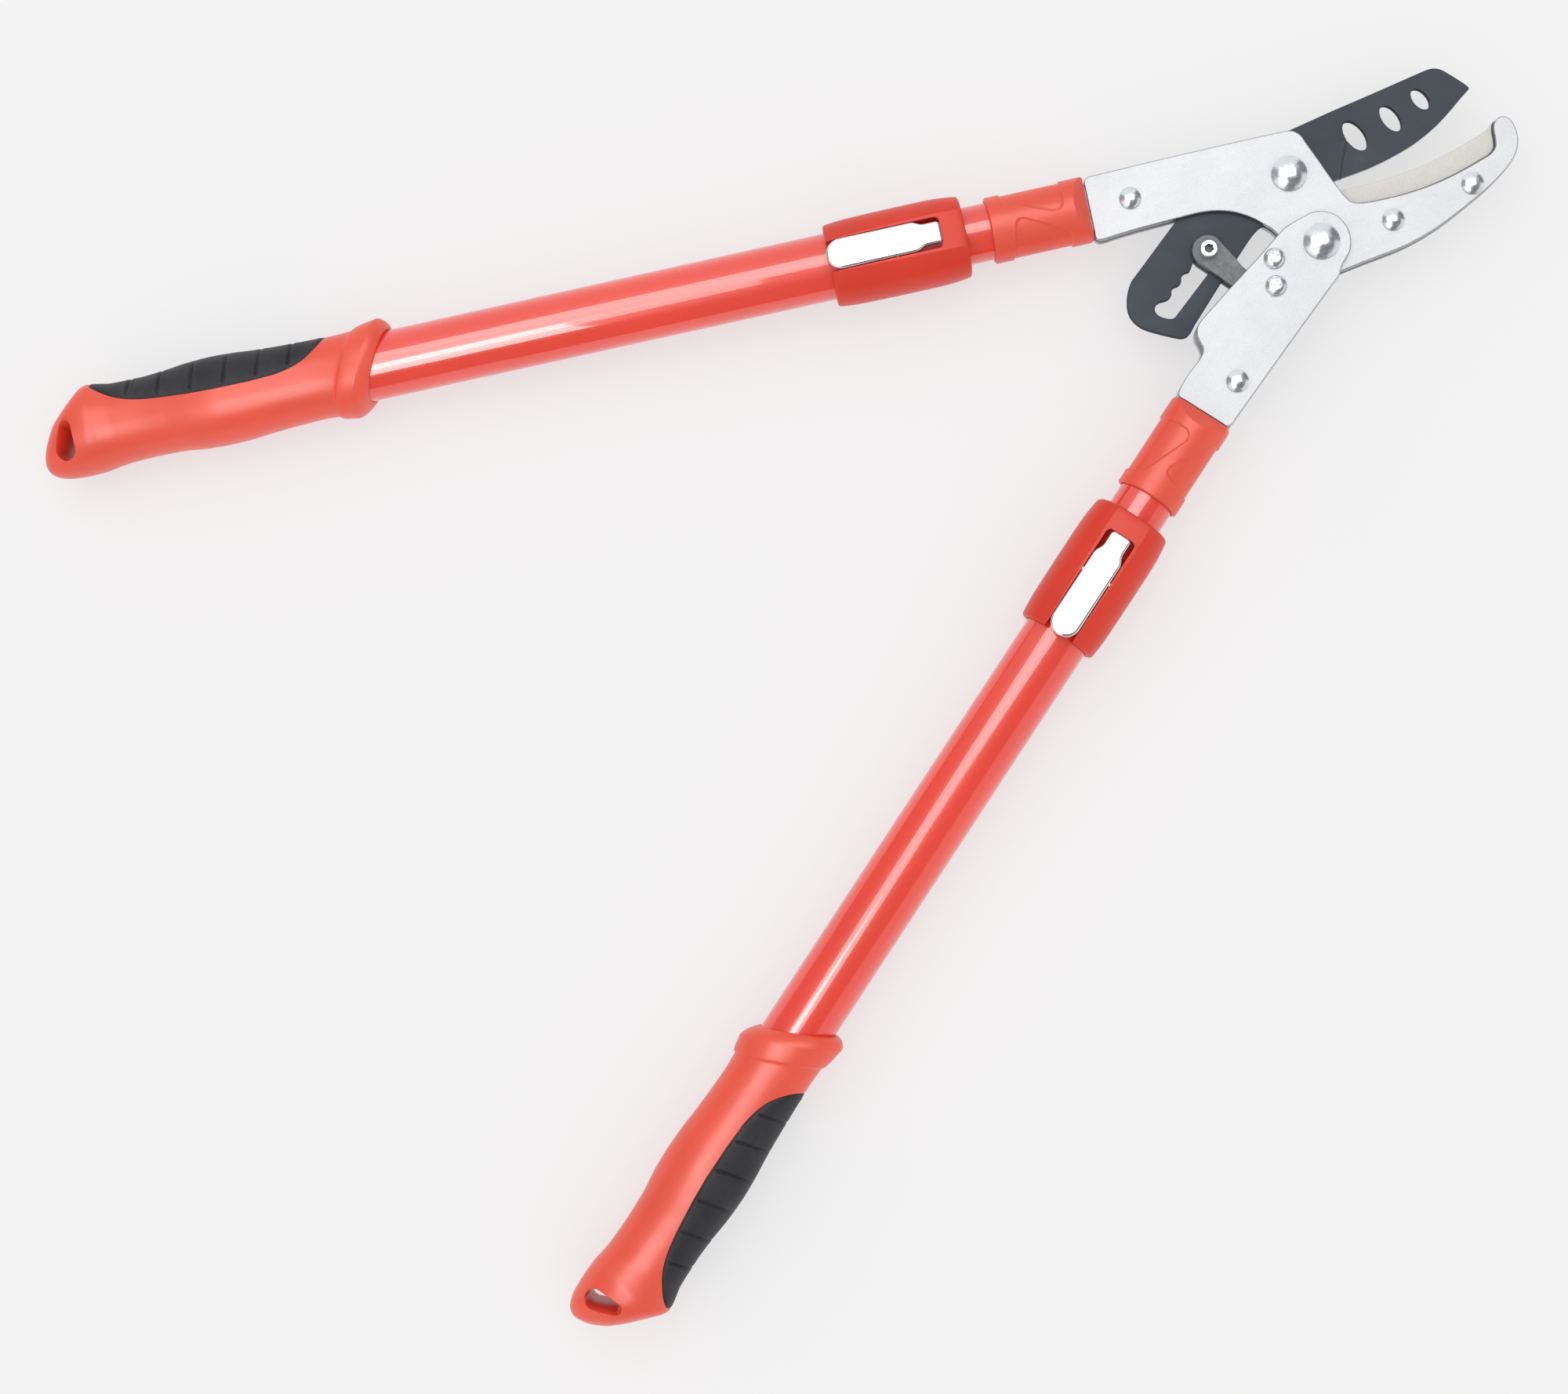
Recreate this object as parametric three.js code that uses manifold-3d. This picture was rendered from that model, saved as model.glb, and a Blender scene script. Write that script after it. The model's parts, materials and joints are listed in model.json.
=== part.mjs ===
// Ratchet anvil lopper with two telescopic handles, lying flat.
// Millimetres. +X runs along the fixed arm towards the jaw, +Z is up through the pivot axes.
// The origin is under the middle of the object, on the plane that it rests on.
// "Front" pieces lie on the +Z side of the middle plane and "rear" pieces on the -Z side.
import * as THREE from "three";
import { mergeVertices } from "three/addons/utils/BufferGeometryUtils.js";
import Module from "manifold-3d";

const wasm = await Module();
wasm.setup();

// ---------------------------------------------------------------- driving dimensions
const REST_HALF = 19.5; // half height of the lock sleeves, from the middle plane to the ground
const BLADE_PIVOT = [237.67, 202.33, REST_HALF]; // origin of the head frame
const ARM_PIVOT = [6.77, -33.42]; // head frame
const ARM_ANGLE = 44.9; // degrees between the two handles as they lie
const PAWL_PIVOT = [-27.5, 6.1]; // arm frame
const STOP_POINT = [-17.6, 13.3]; // arm frame
const PAWL_PIN = [-42.1, -25.8]; // head frame
const LINK_LENGTH = 33.84; // pawl pivot to pawl pin

// half thicknesses and layer heights, measured from the middle plane
const BLADE_HALF = 1.75;
const ANVIL_HALF = 1.8;
const BUSH_HALF = 1.85;
const PLATE_IN = 1.95;
const PLATE_OUT = 4.45;
const LINK_OUT = 4.35;
const ARM_IN = 4.6;
const ARM_OUT = 7.1;
const HEAD_GAP = 0.1; // between a plate and the rivet head, screw head or nut on it
const PLATE_SEAT = PLATE_OUT + HEAD_GAP;
const LINK_SEAT = LINK_OUT + HEAD_GAP;
const ARM_SEAT = ARM_OUT + HEAD_GAP;

const PIVOT_RIVET = { shank: 4.5, height: 3.9, segments: 16 };
const SMALL_RIVET = { shank: 2.9, segments: 14 };
const PIVOT_HOLE = 4.85; // hole radii
const PIVOT_BUSH_BORE = 4.65;
const RIVET_HOLE = 3.1;
const SCREW_HOLE = 2.75;
const SCREW_RADIUS = 2.5;
const NUT_RADIUS = 4.6; // across the corners
const NUT_BORE = 2.65;

// handle frame: x = 0 at the collar mouth and negative towards the grip
const OUTER_RADIUS = 15.0;
const OUTER_BORE = 13.8;
const INNER_RADIUS = 12.85;
const INNER_BORE = 11.65;
const COLLAR_LENGTH = 44.8;
const INNER_HEAD = -8;
const INNER_TAIL = -430;
const OUTER_HEAD = -60;
const OUTER_TAIL = -465;
const SLEEVE_HEAD = -56.2;
const SLEEVE_TAIL = -117.9;
const PEG_X = -72;
const PEG_PITCH = 40;
const PEG_STOPS = 8;
const TAB_PIVOT = [-88, 17.0]; // x and height of the tab's cross pin

// ---------------------------------------------------------------- points in a plane
// points [x, y] along an arc, both ends included; angles in degrees
function arc([x, y], radius, from, to, steps) {
  return Array.from({ length: steps + 1 }, (_, i) => {
    const angle = THREE.MathUtils.degToRad(from + ((to - from) * i) / steps);
    return [x + radius * Math.cos(angle), y + radius * Math.sin(angle)];
  });
}
const circle = (center, radius, count) => arc(center, radius, 0, 360, count).slice(0, -1);
// turns a point about the origin, then moves it
function place([x, y], degrees, [moveX, moveY]) {
  const angle = THREE.MathUtils.degToRad(degrees);
  const cos = Math.cos(angle);
  const sin = Math.sin(angle);
  return [moveX + x * cos - y * sin, moveY + x * sin + y * cos];
}
function ellipse({ at, long, short, turn }) {
  return circle([0, 0], 1, 14).map(([x, y]) => place([x * long, y * short], turn, at));
}

// ---------------------------------------------------------------- outlines, head frame [x, y]
const PLATE_OUTLINE = [
  [-89.2, 16.2], [-88.3, 17.7], [-86.6, 18.4], [-64.6, 18.9], [-38, 19.2], [-11.4, 19.4],
  [2.0, 19.3], [5.4, 18.7], [7.6, 17.2], [9.1, 15.3], [10.1, 12.7], [13.6, 4.3],
  [18.1, -7.0], [20.4, -12.2], [22.1, -15.7], [23.7, -18.0], [26.3, -19.3], [31.0, -20.0],
  [38, -20.2], [45.0, -20.1], [52, -19.6], [59.3, -18.7], [68.5, -16.8], [77.8, -14.2],
  [83.5, -12.3], [87.3, -11.0], [89.5, -9.5], [90.9, -7.5], [91.4, -4.4], [91.6, -0.4],
  [92.4, 2.3], [93.8, 3.9], [95.7, 4.7], [97.6, 4.4], [99.4, 3.0], [100.6, 0.2],
  [101.2, -3.4], [101.0, -7.3], [99.9, -10.8], [97.7, -14.4], [94.5, -17.7], [90.3, -21.0],
  [84.1, -25.0], [76.2, -29.3], [68.3, -33.3], [60.5, -37.0], [52.9, -39.9], [45.4, -42.2],
  [38.0, -43.8], [30.8, -44.9], [23.5, -46.0], [13.0, -47.8], [6.8, -48.6], [1.2, -48.0],
  [-3.6, -45.6], [-7.2, -41.6], [-9.0, -36.6], [-9.3, -31.2], [-9.9, -27.2], [-11.9, -23.4],
  [-14.8, -20.4], [-19.2, -16.5], [-23.8, -13.4], [-28.6, -11.1], [-33.3, -9.7], [-37.0, -9.0],
  [-42.2, -8.6], [-52.9, -8.9], [-69.0, -9.6], [-79.8, -10.4], [-85.6, -10.95], [-88.0, -10.6],
  [-89.3, -9.2],
];
// from the blade tip to the heel
const CUT_EDGE = [
  [85.9, 20.6], [80.8, 16.4], [75.7, 12.4], [71.5, 9.3], [67.4, 6.6], [61.3, 3.3],
  [55.5, 0.7], [46.0, -2.4], [36.7, -4.7], [29.4, -5.9], [21.8, -6.9], [18.9, -7.6],
];
const BLADE_OUTLINE = [
  [4.0, 19.6], [25.5, 24.2], [43.9, 27.8], [62.4, 31.6], [67.9, 32.7], [70.4, 33.1],
  [73.2, 32.9], [75.8, 31.7], [78.1, 29.7], [85.7, 21.5], ...CUT_EDGE,
  [15.5, -10.6], [10, -14.5], [2, -17.5], [-5, -19], [-12, -19.8], [-16.6, -20.1],
  [-19.8, -22.0], [-22.6, -24.4], [-39.5, -41.2], [-54.1, -56.4], [-56.9, -59.7], [-59.2, -61.2],
  [-61.4, -61.3], [-63.8, -60.4], [-70.2, -57.3], [-75.6, -54.3], [-78.3, -52.2], [-80.5, -49.3],
  [-81.7, -46.3], [-81.9, -42.6], [-81.1, -38.5], [-79.7, -34.8], [-77.6, -31.4], [-63.7, -19.0],
  [-51.8, -8.4], [-44, -2.4], [-35, 4], [-25, 9.8], [-14, 14.8], [-5, 17.7],
];
const RATCHET_SLOT = [
  [-43.9, -35.6], [-62.0, -51.3], [-63.7, -51.9], [-67.3, -50.6], [-69.4, -48.9], [-70.3, -46.7],
  [-69.5, -44.6], [-67.8, -43.5], [-65.1, -43.3], [-63.3, -42.9], [-61.8, -41.6], [-61.1, -39.2],
  [-59.8, -38.3], [-57.9, -38.0], [-56.4, -36.9], [-55.7, -34.6], [-54.2, -33.2], [-51.7, -32.8],
  [-50.8, -31.7], [-49.4, -29.4], [-46.6, -26.6], [-45.7, -23.4], [-43.2, -21.6], [-40.1, -21.4],
  [-38.0, -22.9], [-37.5, -25.3], [-38.6, -28.4], [-41.0, -32.0],
];
// elliptical holes in the blade: centre, half axes, turn of the long axis in degrees
const BLADE_HOLES = [
  { at: [32.6, 11.0], long: 7.6, short: 4.1, turn: 113 },
  { at: [49.5, 15.2], long: 6.7, short: 3.6, turn: 113 },
  { at: [64.1, 20.8], long: 5.4, short: 3.2, turn: 116 },
];
const ANVIL_OUTLINE = [
  [19.5, -12.6], [24.8, -11.6], [31.8, -11.5], [38.8, -11.2], [46.1, -10.5], [53.3, -9.6],
  [60.6, -8.2], [71.7, -5.4], [79.2, -3.0], [84.9, -1.0], [88.8, 0.6], [90.9, 2.1],
  [93.1, 3.8], [95.6, 3.9], [97.6, 2.3], [98.8, -1.0], [98.6, -6.4], [96.4, -11.6],
  [91.0, -17.4], [82.0, -23.2], [70.0, -29.4], [57.0, -35.2], [44.0, -39.2], [31.0, -41.2],
  [21.5, -41.6], [19.5, -39.0],
];
const ANVIL_RIVETS = { inner: [40.0, -30.3], outer: [77.2, -22.0] };

// ---------------------------------------------------------------- outline, arm frame [x, y]
// origin at the arm pivot, x along the moving handle towards the jaw
const ARM_OUTLINE = [
  [11.0, 8.2], [12.9, 4.4], [13.5, 0.4], [12.6, -3.6], [10.9, -7.1], [8.3, -9.9],
  [5.7, -11.7], [3.1, -12.8], [-0.2, -13.2], [-3.2, -13.3], [-5.7, -13.9], [-8.7, -14.8],
  [-13.6, -14.6], [-37.2, -13.4], [-61.0, -12.4], [-86.6, -11.4], [-89.8, -11.2], [-91.6, -10.0],
  [-91.7, 14.6], [-90.7, 16.1], [-88.8, 16.7], [-85.8, 17.0], [-81.1, 17.1], [-75.9, 16.7],
  [-72.7, 16.6], [-69.8, 16.9], [-67.9, 17.9], [-66.2, 20.6], [-64.5, 23.2], [-62.0, 24.9],
  [-59.0, 25.4], [-55.0, 25.0], [-38.0, 22.4], [-21.8, 19.7], [-10.3, 18.1], [-6.7, 17.6],
  [-3.8, 17.0], [-0.5, 15.8], [2.6, 14.2], [5.4, 12.7], [8.4, 11.0],
];

// ---------------------------------------------------------------- outline, pawl frame [x, y]
// origin at the pawl pivot, +x towards the pawl pin
const LINK_OUTLINE = [
  ...arc([LINK_LENGTH, 0], 7.0, 82, -92, 12), // nose around the pawl pin
  [22, -3.2], [17.6, -1.35], [14.8, -0.9], [12.2, -1.0], [9.5, -2.2], [7.8, -3.8], // hollow
  ...arc([0, 0], 8.3, -40, -90, 5),
  ...arc([0, 0], 9.4, -110, -220, 8),
  [-2.5, 9.6], [6, 9.4], [18, 8.4],
];

// ---------------------------------------------------------------- the two handles
// at: collar mouth, in the head frame (upper) or the arm frame (lower), as is rivet
// padSide: sign of y on the soft pad's side; plateOut: outer height of the plates at the tang
const UPPER_HANDLE = {
  prefix: "upper",
  at: [-89.77, 4.83],
  rivet: [-70.8, 4.5],
  padSide: 1,
  plateOut: PLATE_OUT,
  tang: { halfThickness: 1.75, halfWidth: 10.6, end: 29 },
};
const LOWER_HANDLE = {
  prefix: "lower",
  at: [-92.0, 2.4],
  rivet: [-72.3, -2.7],
  padSide: -1,
  plateOut: ARM_OUT,
  tang: { halfThickness: 4.4, halfWidth: 10.0, end: 31 },
};

const GRIP_RINGS = [
  // x at the axis, x shift per y, half width pad side, half width other side, half height
  [-328.0, 0.475, 16.3, 16.3, 16.3],
  [-328.6, 0.475, 19.8, 20.0, 18.9],
  [-331.2, 0.47, 20.9, 20.8, 19.5],
  [-335.2, 0.46, 20.7, 20.6, 19.5],
  [-338.8, 0.44, 19.0, 19.2, 18.6],
  [-344.0, 0.38, 17.8, 18.2, 17.6],
  [-354.0, 0.26, 17.5, 17.9, 17.3],
  [-368.0, 0.1, 17.9, 18.2, 17.7],
  [-382.0, 0, 18.7, 18.9, 18.4],
  [-392.0, 0, 19.6, 19.7, 19.1],
  [-402.0, 0, 20.0, 20.0, 19.5],
  [-413.0, 0, 19.6, 19.6, 19.0],
  [-425.0, 0, 18.4, 18.3, 18.0],
  [-437.0, 0, 17.8, 18.0, 17.6],
  [-449.0, 0, 18.0, 18.3, 17.8],
  [-456.0, 0, 19.2, 19.0, 18.7],
  [-461.0, 0.03, 20.0, 19.9, 19.5],
  [-466.0, 0.15, 19.0, 20.3, 19.2],
  [-471.0, 0.3, 16.4, 20.0, 17.8],
  [-475.5, 0.42, 12.6, 18.4, 15.2],
  [-479.2, 0.5, 8.0, 14.8, 11.4],
  [-481.6, 0.55, 3.6, 9.4, 6.4],
];
// limit of the soft pad, [x, y] with the pad on the +y side
const PAD_BOUNDARY = [
  [-346.8, 26], [-347.6, 19], [-349.4, 14.6], [-353, 10.4], [-358, 6.6], [-364, 4.1],
  [-372, 2.4], [-385, 1.7], [-400, 1.6], [-412, 2.2], [-424, 3.4], [-434, 4.8],
  [-441, 6.5], [-447, 9], [-453, 12.8], [-458, 17], [-460.6, 20.5], [-461.5, 26],
];
const PAD_MIDDLE = -400; // the pad's gap widens away from this x
const PAD_GAP = 0.15;
// teardrop hole through the end of the grip
const GRIP_HOLE = [
  ...arc([-474.2, -9.6], 3.6, 189, 369, 9),
  ...arc([-472.3, 0.2], 1.5, 9, 189, 5),
];

// ---------------------------------------------------------------- solids and geometry
function solid(geometry) {
  const bare = geometry.clone();
  for (const name of Object.keys(bare.attributes)) {
    if (name !== "position") bare.deleteAttribute(name);
  }
  const merged = mergeVertices(bare, 1e-4);
  const index = merged.index.array;
  const triangles = [];
  for (let i = 0; i < index.length; i += 3) {
    const [p, q, r] = index.subarray(i, i + 3);
    if (p !== q && q !== r && p !== r) triangles.push(p, q, r);
  }
  const build = () =>
    new wasm.Manifold(
      new wasm.Mesh({
        numProp: 3,
        vertProperties: new Float32Array(merged.attributes.position.array),
        triVerts: new Uint32Array(triangles),
      }),
    );
  const built = build();
  if (built.volume() >= 0) return built;
  // inside out: swap the winding
  for (let i = 0; i < triangles.length; i += 3) {
    [triangles[i + 1], triangles[i + 2]] = [triangles[i + 2], triangles[i + 1]];
  }
  return build();
}
function geometryOf(body) {
  const { numProp, numVert, vertProperties, triVerts } = body.getMesh();
  const positions = new Float32Array(numVert * 3);
  for (let i = 0; i < numVert; i++) {
    positions.set(vertProperties.subarray(i * numProp, i * numProp + 3), i * 3);
  }
  const geometry = new THREE.BufferGeometry()
    .setAttribute("position", new THREE.BufferAttribute(positions, 3))
    .setIndex(new THREE.BufferAttribute(new Uint32Array(triVerts), 1));
  geometry.computeVertexNormals();
  return geometry;
}
const cut = (body, ...tools) => tools.reduce((rest, tool) => rest.subtract(tool), body);

const vectors = (points) => points.map(([x, y]) => new THREE.Vector2(x, y));
function extrusion(points, depth, holes = []) {
  const outline = vectors(points);
  if (THREE.ShapeUtils.isClockWise(outline)) outline.reverse();
  const shape = new THREE.Shape(outline);
  shape.holes = holes.map((hole) => new THREE.Path(vectors(hole)));
  return new THREE.ExtrudeGeometry(shape, { depth, bevelEnabled: false });
}
// flat plate between two heights
function plate(points, bottom, top, holes) {
  return solid(extrusion(points, top - bottom, holes).translate(0, 0, bottom));
}
// plate with an outline of [x, z], between two y values
function wall(points, yLow, yHigh) {
  const geometry = extrusion(points, yHigh - yLow);
  geometry.rotateX(Math.PI / 2); // shape y becomes z, depth becomes -y
  return solid(geometry.translate(0, yHigh, 0));
}
// box from a [low, high] range on each axis
function box(...ranges) {
  const size = ranges.map(([low, high]) => high - low);
  const middle = ranges.map(([low, high]) => (low + high) / 2);
  return solid(new THREE.BoxGeometry(...size).translate(...middle));
}
// turned body about X, profile of [x, radius]
function turnedX(profile, segments = 24) {
  const points = vectors(profile.map(([x, radius]) => [radius, x]));
  return solid(new THREE.LatheGeometry(points, segments).rotateZ(-Math.PI / 2));
}
// turned body about Z, profile of [radius, z]
function turnedZ(profile, [x, y], segments = 20) {
  const geometry = new THREE.LatheGeometry(vectors(profile), segments);
  return solid(geometry.rotateX(Math.PI / 2).translate(x, y, 0));
}
function rodX(radius, start, end) {
  return turnedX([[start, 0], [start, radius], [end, radius], [end, 0]]);
}
function rodY(radius, half, [x, z]) {
  return solid(new THREE.CylinderGeometry(radius, radius, 2 * half, 14).translate(x, 0, z));
}
function rodZ(radius, bottom, top, at, segments) {
  return turnedZ([[0, bottom], [radius, bottom], [radius, top], [0, top]], at, segments);
}
function pipeX(radius, bore, start, end) {
  return turnedX([[start, bore], [start, radius], [end, radius], [end, bore], [start, bore]]);
}
function bush(radius, bore, at, segments) {
  const half = BUSH_HALF;
  const profile = [[bore, -half], [radius, -half], [radius, half], [bore, half], [bore, -half]];
  return turnedZ(profile, at, segments);
}
// closed skin through rings of points, with flat fans at both ends
function loft(rings) {
  const count = rings[0].length;
  const positions = rings.flat(2);
  const triangles = [];
  for (let k = 0; k < rings.length - 1; k++) {
    for (let i = 0; i < count; i++) {
      const here = k * count + i;
      const next = k * count + ((i + 1) % count);
      triangles.push(here, next, next + count, here, next + count, here + count);
    }
  }
  const cap = (k, flip) => {
    const center = positions.length / 3;
    for (const axis of [0, 1, 2]) {
      positions.push(rings[k].reduce((sum, point) => sum + point[axis], 0) / count);
    }
    for (let i = 0; i < count; i++) {
      const here = k * count + i;
      const next = k * count + ((i + 1) % count);
      triangles.push(center, ...(flip ? [here, next] : [next, here]));
    }
  };
  cap(0, false);
  cap(rings.length - 1, true);
  const geometry = new THREE.BufferGeometry()
    .setAttribute("position", new THREE.Float32BufferAttribute(positions, 3))
    .setIndex(triangles);
  return solid(geometry);
}
// five-sided bar along a curve
function wire(points, radius, steps) {
  const knots = points.map((point) => new THREE.Vector3(...point));
  const extrudePath = new THREE.CatmullRomCurve3(knots, false, "centripetal");
  const section = new THREE.Shape(vectors(circle([0, 0], radius, 5)));
  return solid(new THREE.ExtrudeGeometry(section, { steps, bevelEnabled: false, extrudePath }));
}

// ---------------------------------------------------------------- fasteners
// rivet with a domed head on both faces of a stack; seat is the height of the head's flat side
function rivet({ at, shank, head, height, seat, segments }) {
  const rim = 0.5;
  const top = arc([0, 0], 1, 0, 90, 3).map(([across, up]) => [
    across < 1e-6 ? 0 : head * across,
    seat + rim + (height - rim) * up,
  ]);
  const upperHalf = [[shank, seat], [head, seat], ...top];
  const lowerHalf = upperHalf.map(([radius, z]) => [radius, -z]).reverse();
  return turnedZ([...lowerHalf, ...upperHalf], at, segments);
}
function hexNut(at, bottom, top) {
  return cut(
    rodZ(NUT_RADIUS, bottom, top, at, 6),
    rodZ(NUT_BORE, bottom - 1, top + 1, at, 16),
  );
}
// pan head screw with a cross recess, through the moving arm
function panScrew([x, y]) {
  const body = turnedZ(
    [
      [0, -11.4], [SCREW_RADIUS, -11.4], [SCREW_RADIUS, ARM_SEAT], [4.7, ARM_SEAT],
      [4.7, 8.2], [4.3, 9.1], [3.0, 9.8], [0, 10.05],
    ],
    [x, y],
    14,
  );
  const recess = (halfX, halfY) => box([x - halfX, x + halfX], [y - halfY, y + halfY], [8.3, 12]);
  return cut(body, recess(2.3, 0.55), recess(0.55, 2.3));
}

// ---------------------------------------------------------------- materials and pieces
const FINISHES = {
  plate: { color: 0xdfe2e4, roughness: 0.35, metalness: 0.9 },
  blade: { color: 0x4b4f56, roughness: 0.45, metalness: 0.6 },
  link: { color: 0x5b5e60, roughness: 0.6, metalness: 0.6 },
  zinc: { color: 0xdde0e2, roughness: 0.22, metalness: 0.95 },
  anvil: { color: 0xc9c1b7, roughness: 0.7, metalness: 0.4 },
  paint: { color: 0xe0523e, roughness: 0.2, metalness: 0.1 },
  plastic: { color: 0xdd4f3c, roughness: 0.5, metalness: 0.0 },
  pad: { color: 0x2b2c2e, roughness: 0.75, metalness: 0.0 },
  nylon: { color: 0xd9d6cd, roughness: 0.6, metalness: 0.0 },
  spring: { color: 0x9a9da0, roughness: 0.4, metalness: 0.9 },
  chrome: { color: 0xf2f4f5, roughness: 0.08, metalness: 1.0 },
};
function piece(name, body, finish) {
  const material = new THREE.MeshStandardMaterial(FINISHES[finish]);
  const mesh = new THREE.Mesh(geometryOf(body), material);
  mesh.name = name;
  return mesh;
}
// the same plate on both sides of the middle plane
function platePair([frontName, rearName], outline, inner, outer, holes, finish) {
  return [
    piece(frontName, plate(outline, inner, outer, holes), finish),
    piece(rearName, plate(outline, -outer, -inner, holes), finish),
  ];
}
function frame(parent, [x, y, z = 0], turn = 0) {
  const group = new THREE.Group();
  group.position.set(x, y, z);
  group.rotation.z = turn;
  parent.add(group);
  return group;
}

// ---------------------------------------------------------------- head
function headPieces() {
  const anvilPoints = Object.values(ANVIL_RIVETS);
  const holes = [
    circle([0, 0], PIVOT_HOLE, 18),
    circle(ARM_PIVOT, PIVOT_HOLE, 18),
    ...[UPPER_HANDLE.rivet, ...anvilPoints].map((at) => circle(at, RIVET_HOLE, 12)),
  ];
  const anvilHoles = anvilPoints.map((at) => circle(at, RIVET_HOLE, 16));
  const smallRivet = (at, height) =>
    rivet({ ...SMALL_RIVET, at, head: 4.8, height, seat: PLATE_SEAT });
  const bladeRivet = rivet({ ...PIVOT_RIVET, at: [0, 0], head: 7.8, seat: PLATE_SEAT });
  const armRivet = rivet({ ...PIVOT_RIVET, at: ARM_PIVOT, head: 7.9, seat: ARM_SEAT });
  const plateNames = ["upper_front_plate", "upper_rear_plate"];
  return [
    ...platePair(plateNames, PLATE_OUTLINE, PLATE_IN, PLATE_OUT, holes, "plate"),
    piece("anvil", plate(ANVIL_OUTLINE, -ANVIL_HALF, ANVIL_HALF, anvilHoles), "anvil"),
    piece("anvil_rivet_inner", smallRivet(ANVIL_RIVETS.inner, 2.6), "zinc"),
    piece("anvil_rivet_outer", smallRivet(ANVIL_RIVETS.outer, 2.6), "zinc"),
    piece("blade_pivot_rivet", bladeRivet, "zinc"),
    piece("blade_pivot_bush", bush(6.4, PIVOT_BUSH_BORE, [0, 0]), "link"),
    piece("arm_pivot_rivet", armRivet, "zinc"),
    piece("arm_pivot_spacer", bush(8.0, PIVOT_BUSH_BORE, ARM_PIVOT), "zinc"),
    piece("upper_tang_rivet", smallRivet(UPPER_HANDLE.rivet, 2.7), "zinc"),
  ];
}

// ---------------------------------------------------------------- blade
// Wedge that grinds one face (side = +1 or -1) down to a thin land along the cutting edge.
function grindingWedge(side) {
  const land = 0.18;
  const width = 2.6;
  const slope = (BLADE_HALF - land) / width;
  const overlap = 0.6; // past the ground band, over the steel
  const reach = 2; // past the edge, off the steel
  const clear = 4; // height of the wedge's flat back
  const last = CUT_EDGE.length - 1;
  const rings = CUT_EDGE.map(([x, y], i) => {
    const before = CUT_EDGE[Math.max(0, i - 1)];
    const after = CUT_EDGE[Math.min(last, i + 1)];
    // unit vector towards the heel
    const along = new THREE.Vector2(after[0] - before[0], after[1] - before[1]).normalize();
    // unit normal away from the steel, towards -y
    const sign = -along.x < 0 ? 1 : -1;
    const out = [sign * along.y, -sign * along.x];
    // run past both ends of the edge
    const extra = { 0: -3, [last]: 0.4 }[i] ?? 0;
    const at = (distance, z) => [
      x + along.x * extra + out[0] * distance,
      y + along.y * extra + out[1] * distance,
      side * z,
    ];
    return [
      at(-width - overlap, BLADE_HALF + slope * overlap),
      at(reach, land - slope * reach),
      at(reach, clear),
      at(-width - overlap, clear),
    ];
  });
  return loft(rings);
}
function bladePiece() {
  const holes = [circle([0, 0], 6.6, 24), RATCHET_SLOT, ...BLADE_HOLES.map(ellipse)];
  const body = plate(BLADE_OUTLINE, -BLADE_HALF, BLADE_HALF, holes);
  return piece("blade", cut(body, grindingWedge(1), grindingWedge(-1)), "blade");
}

// ---------------------------------------------------------------- pawl
function pawlPieces() {
  const pinAt = [LINK_LENGTH, 0];
  const holes = [circle([0, 0], 2.8, 14), circle(pinAt, SCREW_HOLE, 14)];
  const pinBody = turnedZ(
    [
      [0, -7.9], [SCREW_RADIUS, -7.9], [SCREW_RADIUS, LINK_SEAT], [3.9, LINK_SEAT],
      [3.9, 7.9], [3.5, 8.3], [0, 8.3],
    ],
    pinAt,
  );
  const hexSocket = rodZ(2.0, 6.2, 9, pinAt, 6);
  const linkNames = ["pawl_link_front", "pawl_link_rear"];
  return [
    ...platePair(linkNames, LINK_OUTLINE, PLATE_IN, LINK_OUT, holes, "link"),
    piece("pawl_pin", cut(pinBody, hexSocket), "zinc"),
    piece("pawl_pin_nut", hexNut(pinAt, -7.4, -LINK_SEAT), "zinc"),
    piece("pawl_bush", bush(3.8, SCREW_HOLE, [0, 0], 16), "zinc"),
  ];
}

// ---------------------------------------------------------------- moving arm
// torsion spring around the pawl pivot, with one straight leg
function pawlSpring() {
  const radius = 4.75;
  const turns = 2.1;
  const start = -50; // degrees
  const half = 1.15; // half height of the coil
  const steps = 24;
  const coil = arc(PAWL_PIVOT, radius, start, start - 360 * turns, steps).map(([x, y], i) => [
    x,
    y,
    -half + (2 * half * i) / steps,
  ]);
  const [x, y] = coil[0];
  return wire([[x + 9.2, y + 7.6, -half], [x + 4.6, y + 3.9, -half], ...coil], 0.42, 30);
}
function armPieces() {
  const holes = [
    circle([0, 0], PIVOT_HOLE, 18),
    circle(PAWL_PIVOT, SCREW_HOLE, 12),
    circle(STOP_POINT, SCREW_HOLE, 12),
    circle(LOWER_HANDLE.rivet, RIVET_HOLE, 12),
  ];
  const tangRivet = { at: LOWER_HANDLE.rivet, head: 4.9, height: 2.7, seat: ARM_SEAT };
  const screwAndNut = (name, at) => [
    piece(name + "_screw", panScrew(at), "zinc"),
    piece(name + "_nut", hexNut(at, -10.9, -ARM_SEAT), "zinc"),
  ];
  const plateNames = ["lower_front_plate", "lower_rear_plate"];
  return [
    ...platePair(plateNames, ARM_OUTLINE, ARM_IN, ARM_OUT, holes, "plate"),
    piece("lower_tang_rivet", rivet({ ...SMALL_RIVET, ...tangRivet }), "zinc"),
    ...screwAndNut("pawl_pivot", PAWL_PIVOT),
    ...screwAndNut("pawl_stop", STOP_POINT),
    piece("pawl_spring", pawlSpring(), "spring"),
  ];
}

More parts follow.
